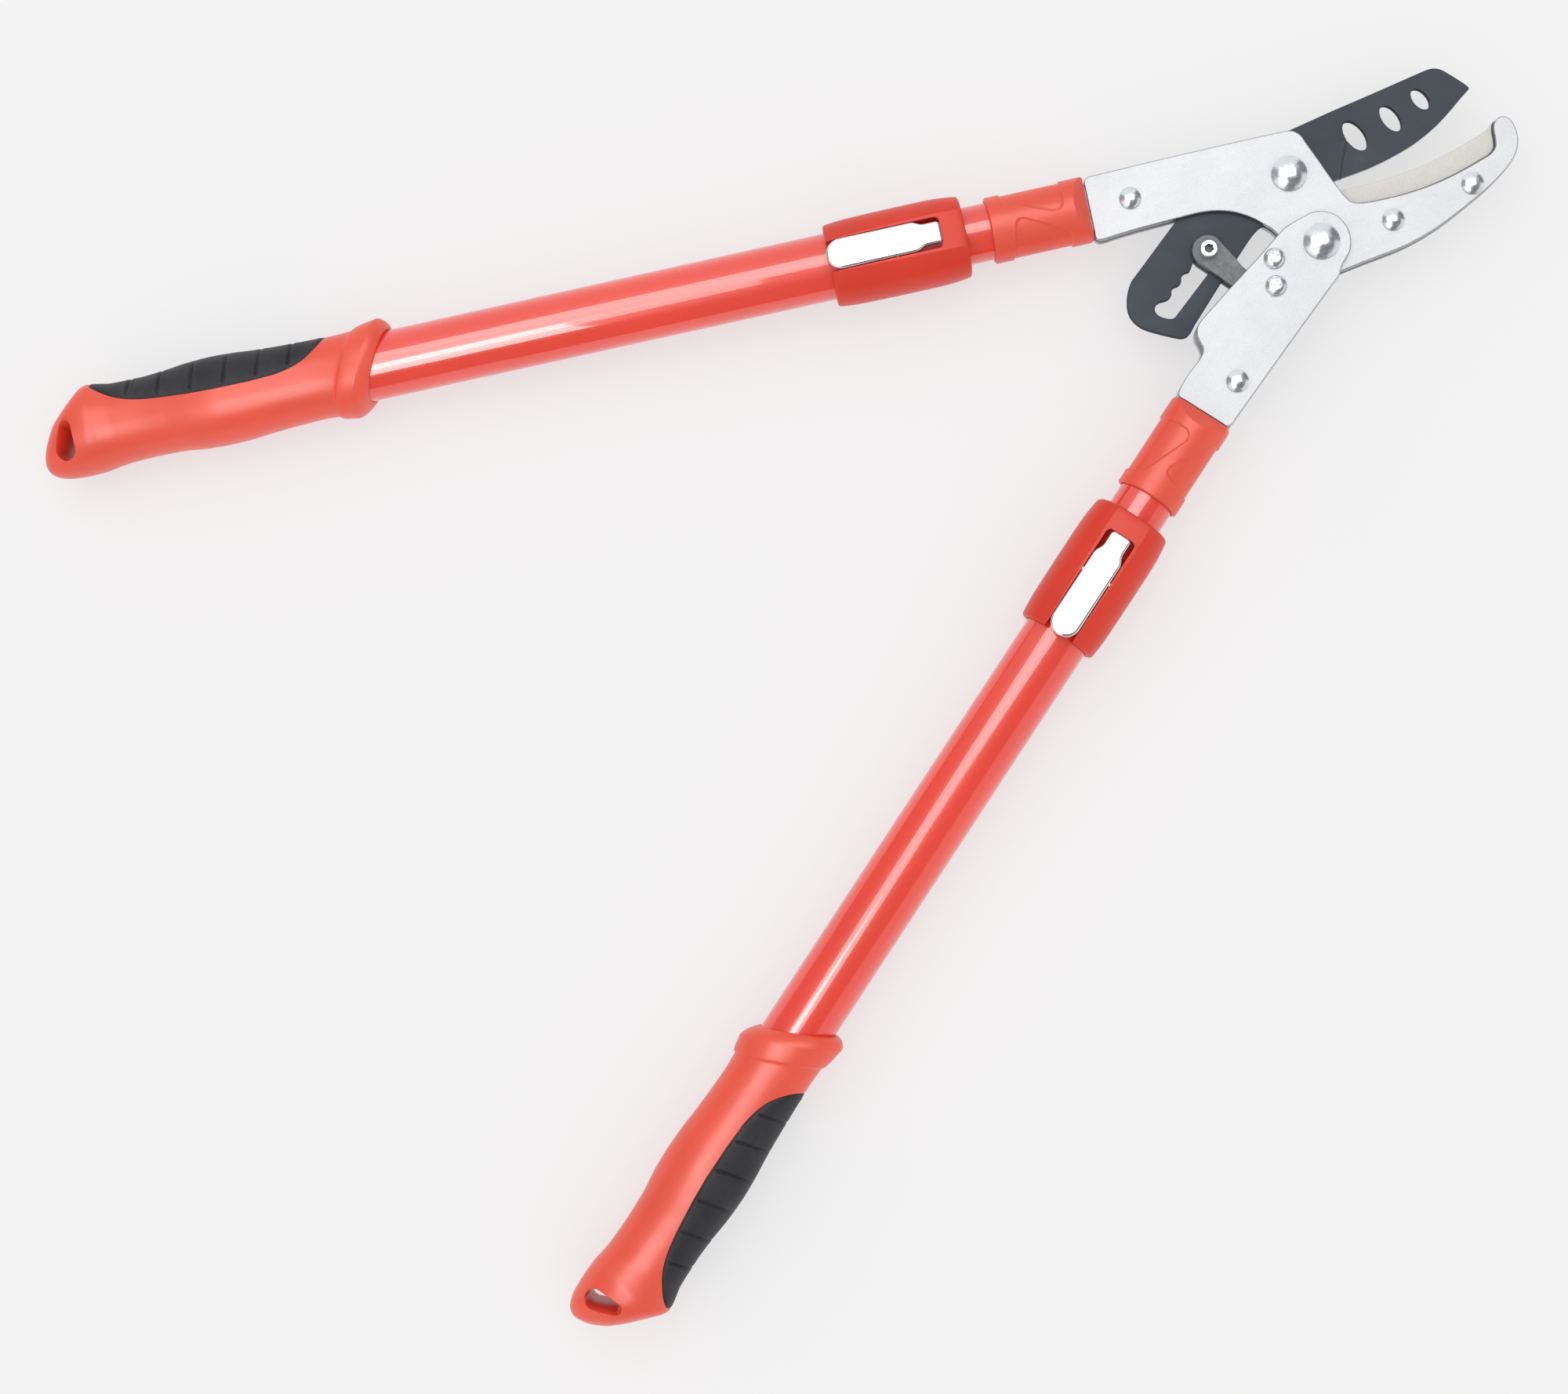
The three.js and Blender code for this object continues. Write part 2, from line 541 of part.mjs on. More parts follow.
// ---------------------------------------------------------------- handle, fixed part
function tangBar({ at, rivet: rivetAt, tang: { halfThickness, halfWidth, end } }) {
  const tail = -46;
  const chamfer = 3;
  const outline = [
    [tail, -halfWidth], [end - chamfer, -halfWidth], [end, -halfWidth + chamfer],
    [end, halfWidth - chamfer], [end - chamfer, halfWidth], [tail, halfWidth],
  ];
  const hole = circle([rivetAt[0] - at[0], rivetAt[1] - at[1]], RIVET_HOLE, 16);
  return plate(outline, -halfThickness, halfThickness, [hole]);
}
function collar({ plateOut, tang: { halfThickness, halfWidth } }) {
  const body = turnedX([
    [-COLLAR_LENGTH, 0], [-COLLAR_LENGTH, 14.3], [-COLLAR_LENGTH + 0.6, 14.8], [-37.2, 14.8],
    [-36.6, 14.05], [-10.0, 14.05], [-9.4, 14.9], [-2.4, 14.9], [0, 14.1], [0, 0],
  ]);
  // slopes the mouth down to the plates; side is the sign of z
  const scoop = (side) => {
    const low = plateOut + 0.15;
    const outline = [[2, low], [0, low], [-6.5, 14.4], [-6.5, 20], [2, 20]];
    return wall(outline.map(([x, z]) => [x, side * z]), -20, 20);
  };
  const slotWidth = halfWidth + 0.3;
  const slotHeight = halfThickness + 0.2;
  return cut(
    body,
    scoop(1),
    scoop(-1),
    rodX(INNER_RADIUS + 0.15, -COLLAR_LENGTH - 1, -7.5),
    box([-9, 2], [-slotWidth, slotWidth], [-slotHeight, slotHeight]),
  );
}
function innerTube() {
  const holes = Array.from({ length: PEG_STOPS }, (_, k) =>
    rodZ(3.4, 8, 16, [PEG_X - PEG_PITCH * k, 0], 8),
  );
  return cut(pipeX(INNER_RADIUS, INNER_BORE, INNER_TAIL, INNER_HEAD), ...holes);
}
// flanged ring plugged into the tail of the inner tube; x from the tube's tail
function tubeGlide() {
  const profile = [
    [-5, 9.5], [-5, 13.1], [-4.4, 13.55], [-0.3, 13.55], [-0.3, 11.45], [14, 11.35], [14, 9.5],
    [-5, 9.5],
  ];
  return turnedX(profile.map(([x, radius]) => [INNER_TAIL + x, radius]), 18);
}

// ---------------------------------------------------------------- handle, sliding part
function outerTube() {
  const pegHole = rodZ(3.5, 8, 18, [PEG_X, 0], 12);
  return cut(pipeX(OUTER_RADIUS, OUTER_BORE, OUTER_TAIL, OUTER_HEAD), pegHole);
}
function lockSleeve() {
  // half of the section, as shares of the half width and half height
  const section = [
    [0.43, 1], [0.62, 0.86], [0.95, 0.42], [1, 0.2],
    [1, -0.2], [0.95, -0.42], [0.62, -0.86], [0.43, -1],
  ];
  const outline = [...section, ...section.map(([y, z]) => [-y, z]).reverse()];
  // x, half width, half height
  const stations = [
    [SLEEVE_TAIL, 17.3, 16.8], [SLEEVE_TAIL + 1.2, 18.4, 17.9], [-108, 20, REST_HALF],
    [-66, 19.8, REST_HALF], [SLEEVE_HEAD - 1.6, 18.4, 18.0], [SLEEVE_HEAD, 17.4, 17.0],
  ];
  const rings = stations.map(([x, halfWidth, halfHeight]) =>
    outline.map(([y, z]) => [x, y * halfWidth, z * halfHeight]),
  );
  return cut(
    loft(rings),
    rodX(OUTER_RADIUS + 0.2, SLEEVE_TAIL - 2, OUTER_HEAD + 0.4),
    rodX(INNER_RADIUS + 0.35, OUTER_HEAD - 1, SLEEVE_HEAD + 2),
    // stepped slot for the tab
    box([SLEEVE_TAIL - 2, -74.8], [-7.1, 7.1], [10, 30]),
    box([-80, -66.2], [-5.1, 5.1], [10, 30]),
    rodY(1.4, 11.2, TAB_PIVOT),
  );
}
// coil around the tab pin
function tabSpring() {
  const [pinX, pinZ] = TAB_PIVOT;
  const radius = 1.53;
  const turns = 4;
  const half = 2.6;
  const steps = 30;
  const coil = Array.from({ length: steps + 1 }, (_, i) => {
    const angle = (-2 * Math.PI * turns * i) / steps;
    const y = -half + (2 * half * i) / steps;
    return [pinX + radius * Math.sin(angle), y, pinZ - radius * Math.cos(angle)];
  });
  return wire(coil, 0.19, 26);
}
// superelliptic section, sheared along x
function gripRing([x, slant, padHalf, otherHalf, halfHeight]) {
  const power = 2 / 2.25;
  const bulge = (value) => Math.sign(value) * Math.pow(Math.abs(value), power);
  return Array.from({ length: 16 }, (_, i) => {
    const angle = (2 * Math.PI * i) / 16;
    const cos = Math.cos(angle);
    const y = bulge(cos) * (cos > 0 ? padHalf : otherHalf);
    return [x + slant * y, y, bulge(Math.sin(angle)) * halfHeight];
  });
}
function gripAndPad(padSide) {
  const toSide = (points) => points.map(([x, y, ...rest]) => [x, y * padSide, ...rest]);
  const prism = (points) => plate(toSide(points), -30, 30);
  const padZone = (grow) =>
    prism(PAD_BOUNDARY.map(([x, y]) => [x + (x > PAD_MIDDLE ? grow : -grow), y - grow]));
  const bored = cut(
    loft(GRIP_RINGS.map((station) => toSide(gripRing(station)))),
    rodX(OUTER_RADIUS + 0.2, OUTER_TAIL - 1.2, -300),
  );
  return {
    grip: cut(bored, padZone(PAD_GAP), prism(GRIP_HOLE)),
    pad: bored.intersect(padZone(0)),
  };
}

// ---------------------------------------------------------------- handle, lock tab
function lockTab() {
  const outline = [
    ...arc([-112.4, 0], 6.7, 90, 270, 8),
    [-78.6, -6.7], [-76.4, -4.8], [-68.4, -4.8], [-66.9, -3.6],
    [-66.9, 3.6], [-68.4, 4.8], [-76.4, 4.8], [-78.6, 6.7],
  ];
  const flangeOutline = [
    [-110, 19.2], [-110, 17.6], [-95, 17.2], [-91.2, 14.9],
    [-84.8, 14.9], [-82.4, 17.2], [-80, 17.6], [-80, 19.2],
  ];
  const body = plate(outline, 19.0, 20.3)
    .add(wall(flangeOutline, 5.5, 6.7))
    .add(wall(flangeOutline, -6.7, -5.5));
  return cut(body, rodY(1.45, 9, TAB_PIVOT));
}
function lockPeg() {
  return turnedZ([[0, 13.2], [2.5, 13.2], [2.9, 13.7], [2.9, 18.9], [0, 18.9]], [PEG_X, 0], 16);
}

function addHandle(parent, handle) {
  const { grip, pad } = gripAndPad(handle.padSide);
  const parts = [
    ["tang_bar", tangBar(handle), "zinc"],
    ["collar", collar(handle), "plastic"],
    ["inner_tube", innerTube(), "paint"],
    ["tube_glide", tubeGlide(), "nylon"],
    ["outer_tube", outerTube(), "paint"],
    ["lock_sleeve", lockSleeve(), "plastic"],
    ["tab_pin", rodY(1.2, 10.9, TAB_PIVOT), "zinc"],
    ["tab_spring", tabSpring(), "spring"],
    ["grip", grip, "plastic"],
    ["grip_pad", pad, "pad"],
    ["lock_tab", lockTab(), "chrome"],
    ["lock_peg", lockPeg(), "zinc"],
  ];
  const group = frame(parent, handle.at);
  for (const [name, body, finish] of parts) {
    group.add(piece(`${handle.prefix}_${name}`, body, finish));
  }
}

// ---------------------------------------------------------------- assembly
const root = new THREE.Group();
const head = frame(root, BLADE_PIVOT);
head.add(...headPieces(), bladePiece());

const arm = frame(head, ARM_PIVOT, THREE.MathUtils.degToRad(ARM_ANGLE));
arm.add(...armPieces());

const pawlAt = place(PAWL_PIVOT, ARM_ANGLE, ARM_PIVOT);
const pawlTurn = Math.atan2(PAWL_PIN[1] - pawlAt[1], PAWL_PIN[0] - pawlAt[0]);
frame(head, pawlAt, pawlTurn).add(...pawlPieces());

addHandle(head, UPPER_HANDLE);
addHandle(arm, LOWER_HANDLE);

export default root;
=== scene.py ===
# Ratchet anvil lopper with two telescopic handles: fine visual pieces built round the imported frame.
# It lies flat, with its thickness along z; front is +z and rear is -z. Both handles run towards
# local -x. Sizes are millimetres in four local frames (head, arm, pawl, handle), whose places
# come from the record's joints; local_frame scales them to metres.
import json
import math

import bmesh
import bpy
import numpy as np
from mathutils import Matrix, Vector
from mathutils.geometry import tessellate_polygon


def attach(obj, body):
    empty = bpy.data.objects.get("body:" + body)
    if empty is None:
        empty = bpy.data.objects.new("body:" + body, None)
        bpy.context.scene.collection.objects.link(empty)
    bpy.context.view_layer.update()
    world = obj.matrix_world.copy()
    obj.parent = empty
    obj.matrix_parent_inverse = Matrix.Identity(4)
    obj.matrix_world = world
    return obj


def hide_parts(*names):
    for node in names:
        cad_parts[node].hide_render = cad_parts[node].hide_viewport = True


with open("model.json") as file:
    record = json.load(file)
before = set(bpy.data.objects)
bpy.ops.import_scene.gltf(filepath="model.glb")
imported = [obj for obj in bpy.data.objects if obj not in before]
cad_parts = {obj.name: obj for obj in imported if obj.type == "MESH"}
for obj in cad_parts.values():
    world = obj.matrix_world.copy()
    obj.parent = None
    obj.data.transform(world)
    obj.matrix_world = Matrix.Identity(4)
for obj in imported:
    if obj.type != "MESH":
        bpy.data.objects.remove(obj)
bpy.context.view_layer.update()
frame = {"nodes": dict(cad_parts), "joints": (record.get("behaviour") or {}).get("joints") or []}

JOINTS = {joint["name"]: joint for joint in frame["joints"]}

# ------------------------------------------------------------------ places and shared sizes
PAWL_PIVOT = (-27.5, 6.1)  # arm frame
STOP_POINT = (-17.6, 13.3)
PAWL_PIN = (-42.1, -25.8)  # head frame
FIXED_HANDLE = (-89.77, 4.83)  # collar mouth in the head frame
MOVING_HANDLE = (-92.0, 2.4)  # collar mouth in the arm frame
TANG_RIVET_FIXED = (-70.8, 4.5)
TANG_RIVET_MOVING = (-72.3, -2.7)
ARM_PIVOT = (6.77, -33.42)  # head frame
ANVIL_RIVETS = [(40.0, -30.3), (77.2, -22.0)]
LINK_LEN = 33.84

# heights from the middle plane, which the front and rear pieces share
BLADE_T = 1.75
PLATE_IN, PLATE_OUT, LINK_OUT, ARM_IN, ARM_OUT = 1.95, 4.45, 4.35, 4.6, 7.1
BUSH_HALF = 1.85
RIVET_GAP = 0.04

PIVOT_HOLE, RIVET_HOLE, SCREW_HOLE = 4.85, 3.1, 2.75
PIVOT_SHANK, RIVET_SHANK = 4.5, 2.9

# handle stations along x and radii
OUTER_R, OUTER_BORE, INNER_R, INNER_BORE = 15.0, 13.8, 12.85, 11.65
OUTER_HEAD, OUTER_TAIL = -60.0, -465.0
INNER_HEAD, INNER_TAIL = -8.0, -430.0
TAB_PIVOT = (-88.0, 17.0)  # x, z
PEG_X, PEG_PITCH, PEG_HOLES = -72.0, 40, 8


def arc(centre, radius, start, end, steps):
    """Points on an arc, angles in degrees."""
    angles = [math.radians(start + (end - start) * i / steps) for i in range(steps + 1)]
    return [(centre[0] + radius * math.cos(a), centre[1] + radius * math.sin(a)) for a in angles]


# ------------------------------------------------------------------ outlines, rows of (x, y)
PLATE_OUTLINE = [
    (-89.2, 16.2), (-88.3, 17.7), (-86.6, 18.4), (-64.6, 18.9), (-38, 19.2), (-11.4, 19.4),
    (2.0, 19.3), (5.4, 18.7), (7.6, 17.2), (9.1, 15.3), (10.1, 12.7), (13.6, 4.3),
    (18.1, -7.0), (20.4, -12.2), (22.1, -15.7), (23.7, -18.0), (26.3, -19.3), (31.0, -20.0),
    (38, -20.2), (45.0, -20.1), (52, -19.6), (59.3, -18.7), (68.5, -16.8), (77.8, -14.2),
    (83.5, -12.3), (87.3, -11.0), (89.5, -9.5), (90.9, -7.5), (91.4, -4.4), (91.6, -0.4),
    (92.4, 2.3), (93.8, 3.9), (95.7, 4.7), (97.6, 4.4), (99.4, 3.0), (100.6, 0.2),
    (101.2, -3.4), (101.0, -7.3), (99.9, -10.8), (97.7, -14.4), (94.5, -17.7), (90.3, -21.0),
    (84.1, -25.0), (76.2, -29.3), (68.3, -33.3), (60.5, -37.0), (52.9, -39.9), (45.4, -42.2),
    (38.0, -43.8), (30.8, -44.9), (23.5, -46.0), (13.0, -47.8), (6.8, -48.6), (1.2, -48.0),
    (-3.6, -45.6), (-7.2, -41.6), (-9.0, -36.6), (-9.3, -31.2), (-9.9, -27.2), (-11.9, -23.4),
    (-14.8, -20.4), (-19.2, -16.5), (-23.8, -13.4), (-28.6, -11.1), (-33.3, -9.7), (-37.0, -9.0),
    (-42.2, -8.6), (-52.9, -8.9), (-69.0, -9.6), (-79.8, -10.4), (-85.6, -10.95), (-88.0, -10.6),
    (-89.3, -9.2),
]
CUT_EDGE = [  # from the tip to the heel
    (85.9, 20.6), (80.8, 16.4), (75.7, 12.4), (71.5, 9.3), (67.4, 6.6), (61.3, 3.3),
    (55.5, 0.7), (46.0, -2.4), (36.7, -4.7), (29.4, -5.9), (21.8, -6.9), (18.9, -7.6),
]
BLADE_OUTLINE = [
    (4.0, 19.6), (25.5, 24.2), (43.9, 27.8), (62.4, 31.6), (67.9, 32.7), (70.4, 33.1),
    (73.2, 32.9), (75.8, 31.7), (78.1, 29.7), (85.7, 21.5), *CUT_EDGE,
    (15.5, -10.6), (10, -14.5), (2, -17.5), (-5, -19), (-12, -19.8), (-16.6, -20.1),
    (-19.8, -22.0), (-22.6, -24.4), (-39.5, -41.2), (-54.1, -56.4), (-56.9, -59.7), (-59.2, -61.2),
    (-61.4, -61.3), (-63.8, -60.4), (-70.2, -57.3), (-75.6, -54.3), (-78.3, -52.2), (-80.5, -49.3),
    (-81.7, -46.3), (-81.9, -42.6), (-81.1, -38.5), (-79.7, -34.8), (-77.6, -31.4), (-63.7, -19.0),
    (-51.8, -8.4), (-44, -2.4), (-35, 4), (-25, 9.8), (-14, 14.8), (-5, 17.7),
]
RATCHET_SLOT = [
    (-43.9, -35.6), (-62.0, -51.3), (-63.7, -51.9), (-67.3, -50.6), (-69.4, -48.9), (-70.3, -46.7),
    (-69.5, -44.6), (-67.8, -43.5), (-65.1, -43.3), (-63.3, -42.9), (-61.8, -41.6), (-61.1, -39.2),
    (-59.8, -38.3), (-57.9, -38.0), (-56.4, -36.9), (-55.7, -34.6), (-54.2, -33.2), (-51.7, -32.8),
    (-50.8, -31.7), (-49.4, -29.4), (-46.6, -26.6), (-45.7, -23.4), (-43.2, -21.6), (-40.1, -21.4),
    (-38.0, -22.9), (-37.5, -25.3), (-38.6, -28.4), (-41.0, -32.0),
]
ANVIL_OUTLINE = [
    (19.5, -12.6), (24.8, -11.6), (31.8, -11.5), (38.8, -11.2), (46.1, -10.5), (53.3, -9.6),
    (60.6, -8.2), (71.7, -5.4), (79.2, -3.0), (84.9, -1.0), (88.8, 0.6), (90.9, 2.1),
    (93.1, 3.8), (95.6, 3.9), (97.6, 2.3), (98.8, -1.0), (98.6, -6.4), (96.4, -11.6),
    (91.0, -17.4), (82.0, -23.2), (70.0, -29.4), (57.0, -35.2), (44.0, -39.2), (31.0, -41.2),
    (21.5, -41.6), (19.5, -39.0),
]
ARM_OUTLINE = [
    (11.0, 8.2), (12.9, 4.4), (13.5, 0.4), (12.6, -3.6), (10.9, -7.1), (8.3, -9.9),
    (5.7, -11.7), (3.1, -12.8), (-0.2, -13.2), (-3.2, -13.3), (-5.7, -13.9), (-8.7, -14.8),
    (-13.6, -14.6), (-37.2, -13.4), (-61.0, -12.4), (-86.6, -11.4), (-89.8, -11.2), (-91.6, -10.0),
    (-91.7, 14.6), (-90.7, 16.1), (-88.8, 16.7), (-85.8, 17.0), (-81.1, 17.1), (-75.9, 16.7),
    (-72.7, 16.6), (-69.8, 16.9), (-67.9, 17.9), (-66.2, 20.6), (-64.5, 23.2), (-62.0, 24.9),
    (-59.0, 25.4), (-55.0, 25.0), (-38.0, 22.4), (-21.8, 19.7), (-10.3, 18.1), (-6.7, 17.6),
    (-3.8, 17.0), (-0.5, 15.8), (2.6, 14.2), (5.4, 12.7), (8.4, 11.0),
]
LINK_OUTLINE = (
    arc((LINK_LEN, 0), 7.0, 82, -92, 12)
    + [(22, -3.2), (17.6, -1.35), (14.8, -0.9), (12.2, -1.0), (9.5, -2.2), (7.8, -3.8)]
    + arc((0, 0), 8.3, -40, -90, 5)
    + arc((0, 0), 9.4, -110, -220, 8)
    + [(-2.5, 9.6), (6, 9.4), (18, 8.4)]
)
TIP_HOLES = [  # centre, half length, half width, turn in degrees
    ((32.6, 11.0), 7.6, 4.1, 113),
    ((49.5, 15.2), 6.7, 3.6, 113),
    ((64.1, 20.8), 5.4, 3.2, 116),
]


# ------------------------------------------------------------------ frames
def joint_place(name):
    return Vector(JOINTS[name]["pos_m"])


BLADE_HINGE = joint_place("blade_hinge")
ARM_HINGE = joint_place("arm_hinge")
PAWL_HINGE = joint_place("pawl_hinge")


def local_frame(joint, degrees):
    """Millimetre frame on the middle plane at a joint, turned about z."""
    origin = Matrix.Translation((joint.x, joint.y, BLADE_HINGE.z))
    return origin @ Matrix.Rotation(math.radians(degrees), 4, "Z") @ Matrix.Scale(0.001, 4)


arm_axis = Vector(JOINTS["lower_extension"]["axis"])
HEAD = local_frame(BLADE_HINGE, 0)
ARM = local_frame(ARM_HINGE, math.degrees(math.atan2(-arm_axis.y, -arm_axis.x)))
pin_place = HEAD @ Vector((*PAWL_PIN, 0))
PAWL = local_frame(PAWL_HINGE, math.degrees(
    math.atan2(pin_place.y - PAWL_HINGE.y, pin_place.x - PAWL_HINGE.x)))
UPPER = HEAD @ Matrix.Translation((*FIXED_HANDLE, 0))
LOWER = ARM @ Matrix.Translation((*MOVING_HANDLE, 0))

# a place is the frame a piece is drawn in and the body it rides on
ON_HEAD = (HEAD, "head_frame")
ON_BLADE = (HEAD, "blade_body")
ON_PAWL = (PAWL, "pawl")
ON_ARM = (ARM, "moving_arm")


# ------------------------------------------------------------------ 2-D helpers
def ccw(points):
    """The loop in counter-clockwise order."""
    here = np.asarray(points, float)
    after = np.roll(here, -1, 0)
    area = float(np.sum(here[:, 0] * after[:, 1] - after[:, 0] * here[:, 1]))
    return list(points) if area > 0 else list(points)[::-1]


def between(time, start, end, first, last):
    return (end - time) / (end - start) * first + (time - start) / (end - start) * last


def smooth(points, step=0.7, straight=13.0, hold=2.6):
    """Closed centripetal Catmull-Rom curve through the points; long edges are held straight."""
    corners = np.array(points, float)
    knots = []
    for here, there in zip(corners, np.roll(corners, -1, 0)):
        knots.append(here)
        length = float(np.linalg.norm(there - here))
        if length > straight:
            for run in (hold, length / 2, length - hold):
                knots.append(here + (there - here) * (run / length))
    curve = []
    for i in range(len(knots)):
        quad = [knots[(i + k) % len(knots)] for k in (-1, 0, 1, 2)]
        gaps = [max(np.linalg.norm(b - a), 1e-6) ** 0.5 for a, b in zip(quad, quad[1:])]
        times = np.concatenate([[0], np.cumsum(gaps)])
        count = max(1, int(math.ceil(float(np.linalg.norm(quad[2] - quad[1])) / step)))
        for k in range(count):
            time = times[1] + (times[2] - times[1]) * k / count
            thirds = [between(time, times[j], times[j + 1], quad[j], quad[j + 1])
                      for j in range(3)]
            halves = [between(time, times[j], times[j + 2], thirds[j], thirds[j + 1])
                      for j in range(2)]
            curve.append(tuple(between(time, times[1], times[2], *halves)))
    return curve


def circle(at, radius, count=48):
    angles = [2 * math.pi * i / count for i in range(count)]
    return [(at[0] + radius * math.cos(a), at[1] + radius * math.sin(a)) for a in angles]


def oval(at, half_length, half_width, degrees, count=72):
    cos, sin = math.cos(math.radians(degrees)), math.sin(math.radians(degrees))
    points = []
    for i in range(count):
        angle = 2 * math.pi * i / count
        x, y = half_length * math.cos(angle), half_width * math.sin(angle)
        points.append((at[0] + x * cos - y * sin, at[1] + x * sin + y * cos))
    return points


def rounded(points, radius, steps=6):
    """Polygon with circular fillets; radius is one value or a list. Nearly straight corners stay."""
    corners = [np.array(point, float) for point in points]
    loop = []
    for i, corner in enumerate(corners):
        wanted = radius[i] if isinstance(radius, list) else radius
        back, ahead = corners[i - 1] - corner, corners[(i + 1) % len(corners)] - corner
        back_length, ahead_length = np.linalg.norm(back), np.linalg.norm(ahead)
        back, ahead = back / back_length, ahead / ahead_length
        half = math.acos(max(-1, min(1, float(back @ ahead)))) / 2
        if wanted <= 0 or half > math.radians(88):
            loop.append(tuple(corner))
            continue
        run = min(wanted / math.tan(half), 0.45 * back_length, 0.45 * ahead_length)
        fillet = run * math.tan(half)
        middle = back + ahead
        centre = corner + middle / np.linalg.norm(middle) * (fillet / math.sin(half))
        first, last = corner + back * run - centre, corner + ahead * run - centre
        start = math.atan2(first[1], first[0])
        sweep = (math.atan2(last[1], last[0]) - start + math.pi) % (2 * math.pi) - math.pi
        for k in range(steps + 1):
            angle = start + sweep * k / steps
            loop.append((centre[0] + fillet * math.cos(angle),
                         centre[1] + fillet * math.sin(angle)))
    return loop


def rounded_box(x0, x1, half, radius, steps):
    """Rectangle from x0 to x1, centred on y = 0, with filleted corners."""
    return rounded([(x0, -half), (x1, -half), (x1, half), (x0, half)], radius, steps)


def inset_normals(points):
    """Mitred inward vector at each point of a counter-clockwise loop."""
    loop = np.asarray(points, float)
    edge = np.roll(loop, -1, 0) - loop
    edge /= np.maximum(np.linalg.norm(edge, axis=1), 1e-9)[:, None]
    normal = np.stack([-edge[:, 1], edge[:, 0]], 1)
    mitre = normal + np.roll(normal, 1, 0)
    mitre /= np.maximum(np.linalg.norm(mitre, axis=1), 1e-9)[:, None]
    return mitre / np.maximum(np.sum(mitre * normal, 1), 0.6)[:, None]


def line_distance(x, y, points):
    """Distance from (x, y) to an open line of straight spans."""
    spans = []
    for (ax, ay), (bx, by) in zip(points, points[1:]):
        dx, dy = bx - ax, by - ay
        along = np.clip(((x - ax) * dx + (y - ay) * dy) / (dx * dx + dy * dy + 1e-12), 0, 1)
        spans.append(np.hypot(x - ax - along * dx, y - ay - along * dy))
    return np.min(spans, axis=0)


def depth_inside(x, y, polygon):
    """Distance to a polygon's edge, positive inside."""
    closed = polygon + polygon[:1]
    inside = np.zeros(x.shape, bool)
    for (ax, ay), (bx, by) in zip(closed, closed[1:]):
        crossing = ax + (y - ay) * (bx - ax) / (by - ay + 1e-12)
        inside ^= ((ay > y) != (by > y)) & (x < crossing)
    distance = line_distance(x, y, closed)
    return np.where(inside, distance, -distance)


def ease(value):
    """Smooth step from 0 to 1."""
    value = np.clip(value, 0, 1)
    return value * value * (3 - 2 * value)


def monotone(keys, at):
    """Monotone cubic curves through rows (x, a, b, ...) in rising x, read at the places given."""
    table = np.array(keys, float)
    knots = table[:, 0]
    gap = np.diff(knots)
    i = np.clip(np.searchsorted(knots, at) - 1, 0, len(knots) - 2)
    part = np.clip((at - knots[i]) / gap[i], 0, 1)
    curves = []
    for values in table[:, 1:].T:
        rise = np.diff(values) / gap
        slope = np.zeros(len(values))
        slope[0], slope[-1] = rise[0], rise[-1]
        for j in range(1, len(values) - 1):
            if rise[j - 1] * rise[j] > 0:
                before, after = 2 * gap[j] + gap[j - 1], gap[j] + 2 * gap[j - 1]
                slope[j] = (before + after) / (before / rise[j - 1] + after / rise[j])
        curves.append(
            (2 * part**3 - 3 * part**2 + 1) * values[i]
            + (part**3 - 2 * part**2 + part) * gap[i] * slope[i]
            + (-2 * part**3 + 3 * part**2) * values[i + 1]
            + (part**3 - part**2) * gap[i] * slope[i + 1])
    return curves


# ------------------------------------------------------------------ mesh helpers
def make_object(name, verts, faces, indices=None):
    """Welded mesh object with outward normals; indices are the faces' material numbers."""
    mesh = bpy.data.meshes.new(name)
    mesh.from_pydata([tuple(map(float, v)) for v in verts], [], [tuple(map(int, f)) for f in faces])
    if indices is not None:
        for _ in range(max(indices) + 1):
            mesh.materials.append(None)
        mesh.polygons.foreach_set("material_index", np.array(indices, np.int32))
    mesh.validate()
    edit = bmesh.new()
    edit.from_mesh(mesh)
    bmesh.ops.remove_doubles(edit, verts=edit.verts, dist=1e-5)
    bmesh.ops.recalc_face_normals(edit, faces=edit.faces)
    edit.to_mesh(mesh)
    edit.free()
    piece = bpy.data.objects.new(name, mesh)
    bpy.context.scene.collection.objects.link(piece)
    return piece


def take_mesh(piece):
    """A piece's vertices and faces; the piece itself is removed."""
    verts = np.array([tuple(v.co) for v in piece.data.vertices])
    faces = [tuple(face.vertices) for face in piece.data.polygons]
    bpy.data.objects.remove(piece, do_unlink=True)
    return verts, faces


def band_faces(upper, lower, count):
    """Quads between two rows of vertices, given by their first index."""
    faces = []
    for i in range(count):
        j = (i + 1) % count
        faces.append((upper + i, lower + i, lower + j, upper + j))
    return faces


def cap_faces(verts, rows, flip):
    """Triangles over flat rows (first index, count); rows after the first are holes."""
    index = [start + i for start, count in rows for i in range(count)]
    loops = [[Vector((verts[start + i][0], verts[start + i][1], 0)) for i in range(count)]
             for start, count in rows]
    faces = [tuple(index[i] for i in corners) for corners in tessellate_polygon(loops)]
    return [face[::-1] for face in faces] if flip else faces


# ground bevel of the blade: width on the rear face, height of the land, its drop, front inset
GRIND_WIDTH, GRIND_LAND, GRIND_DROP, GRIND_INSET = 4.2, 1.1, 0.12, 0.4


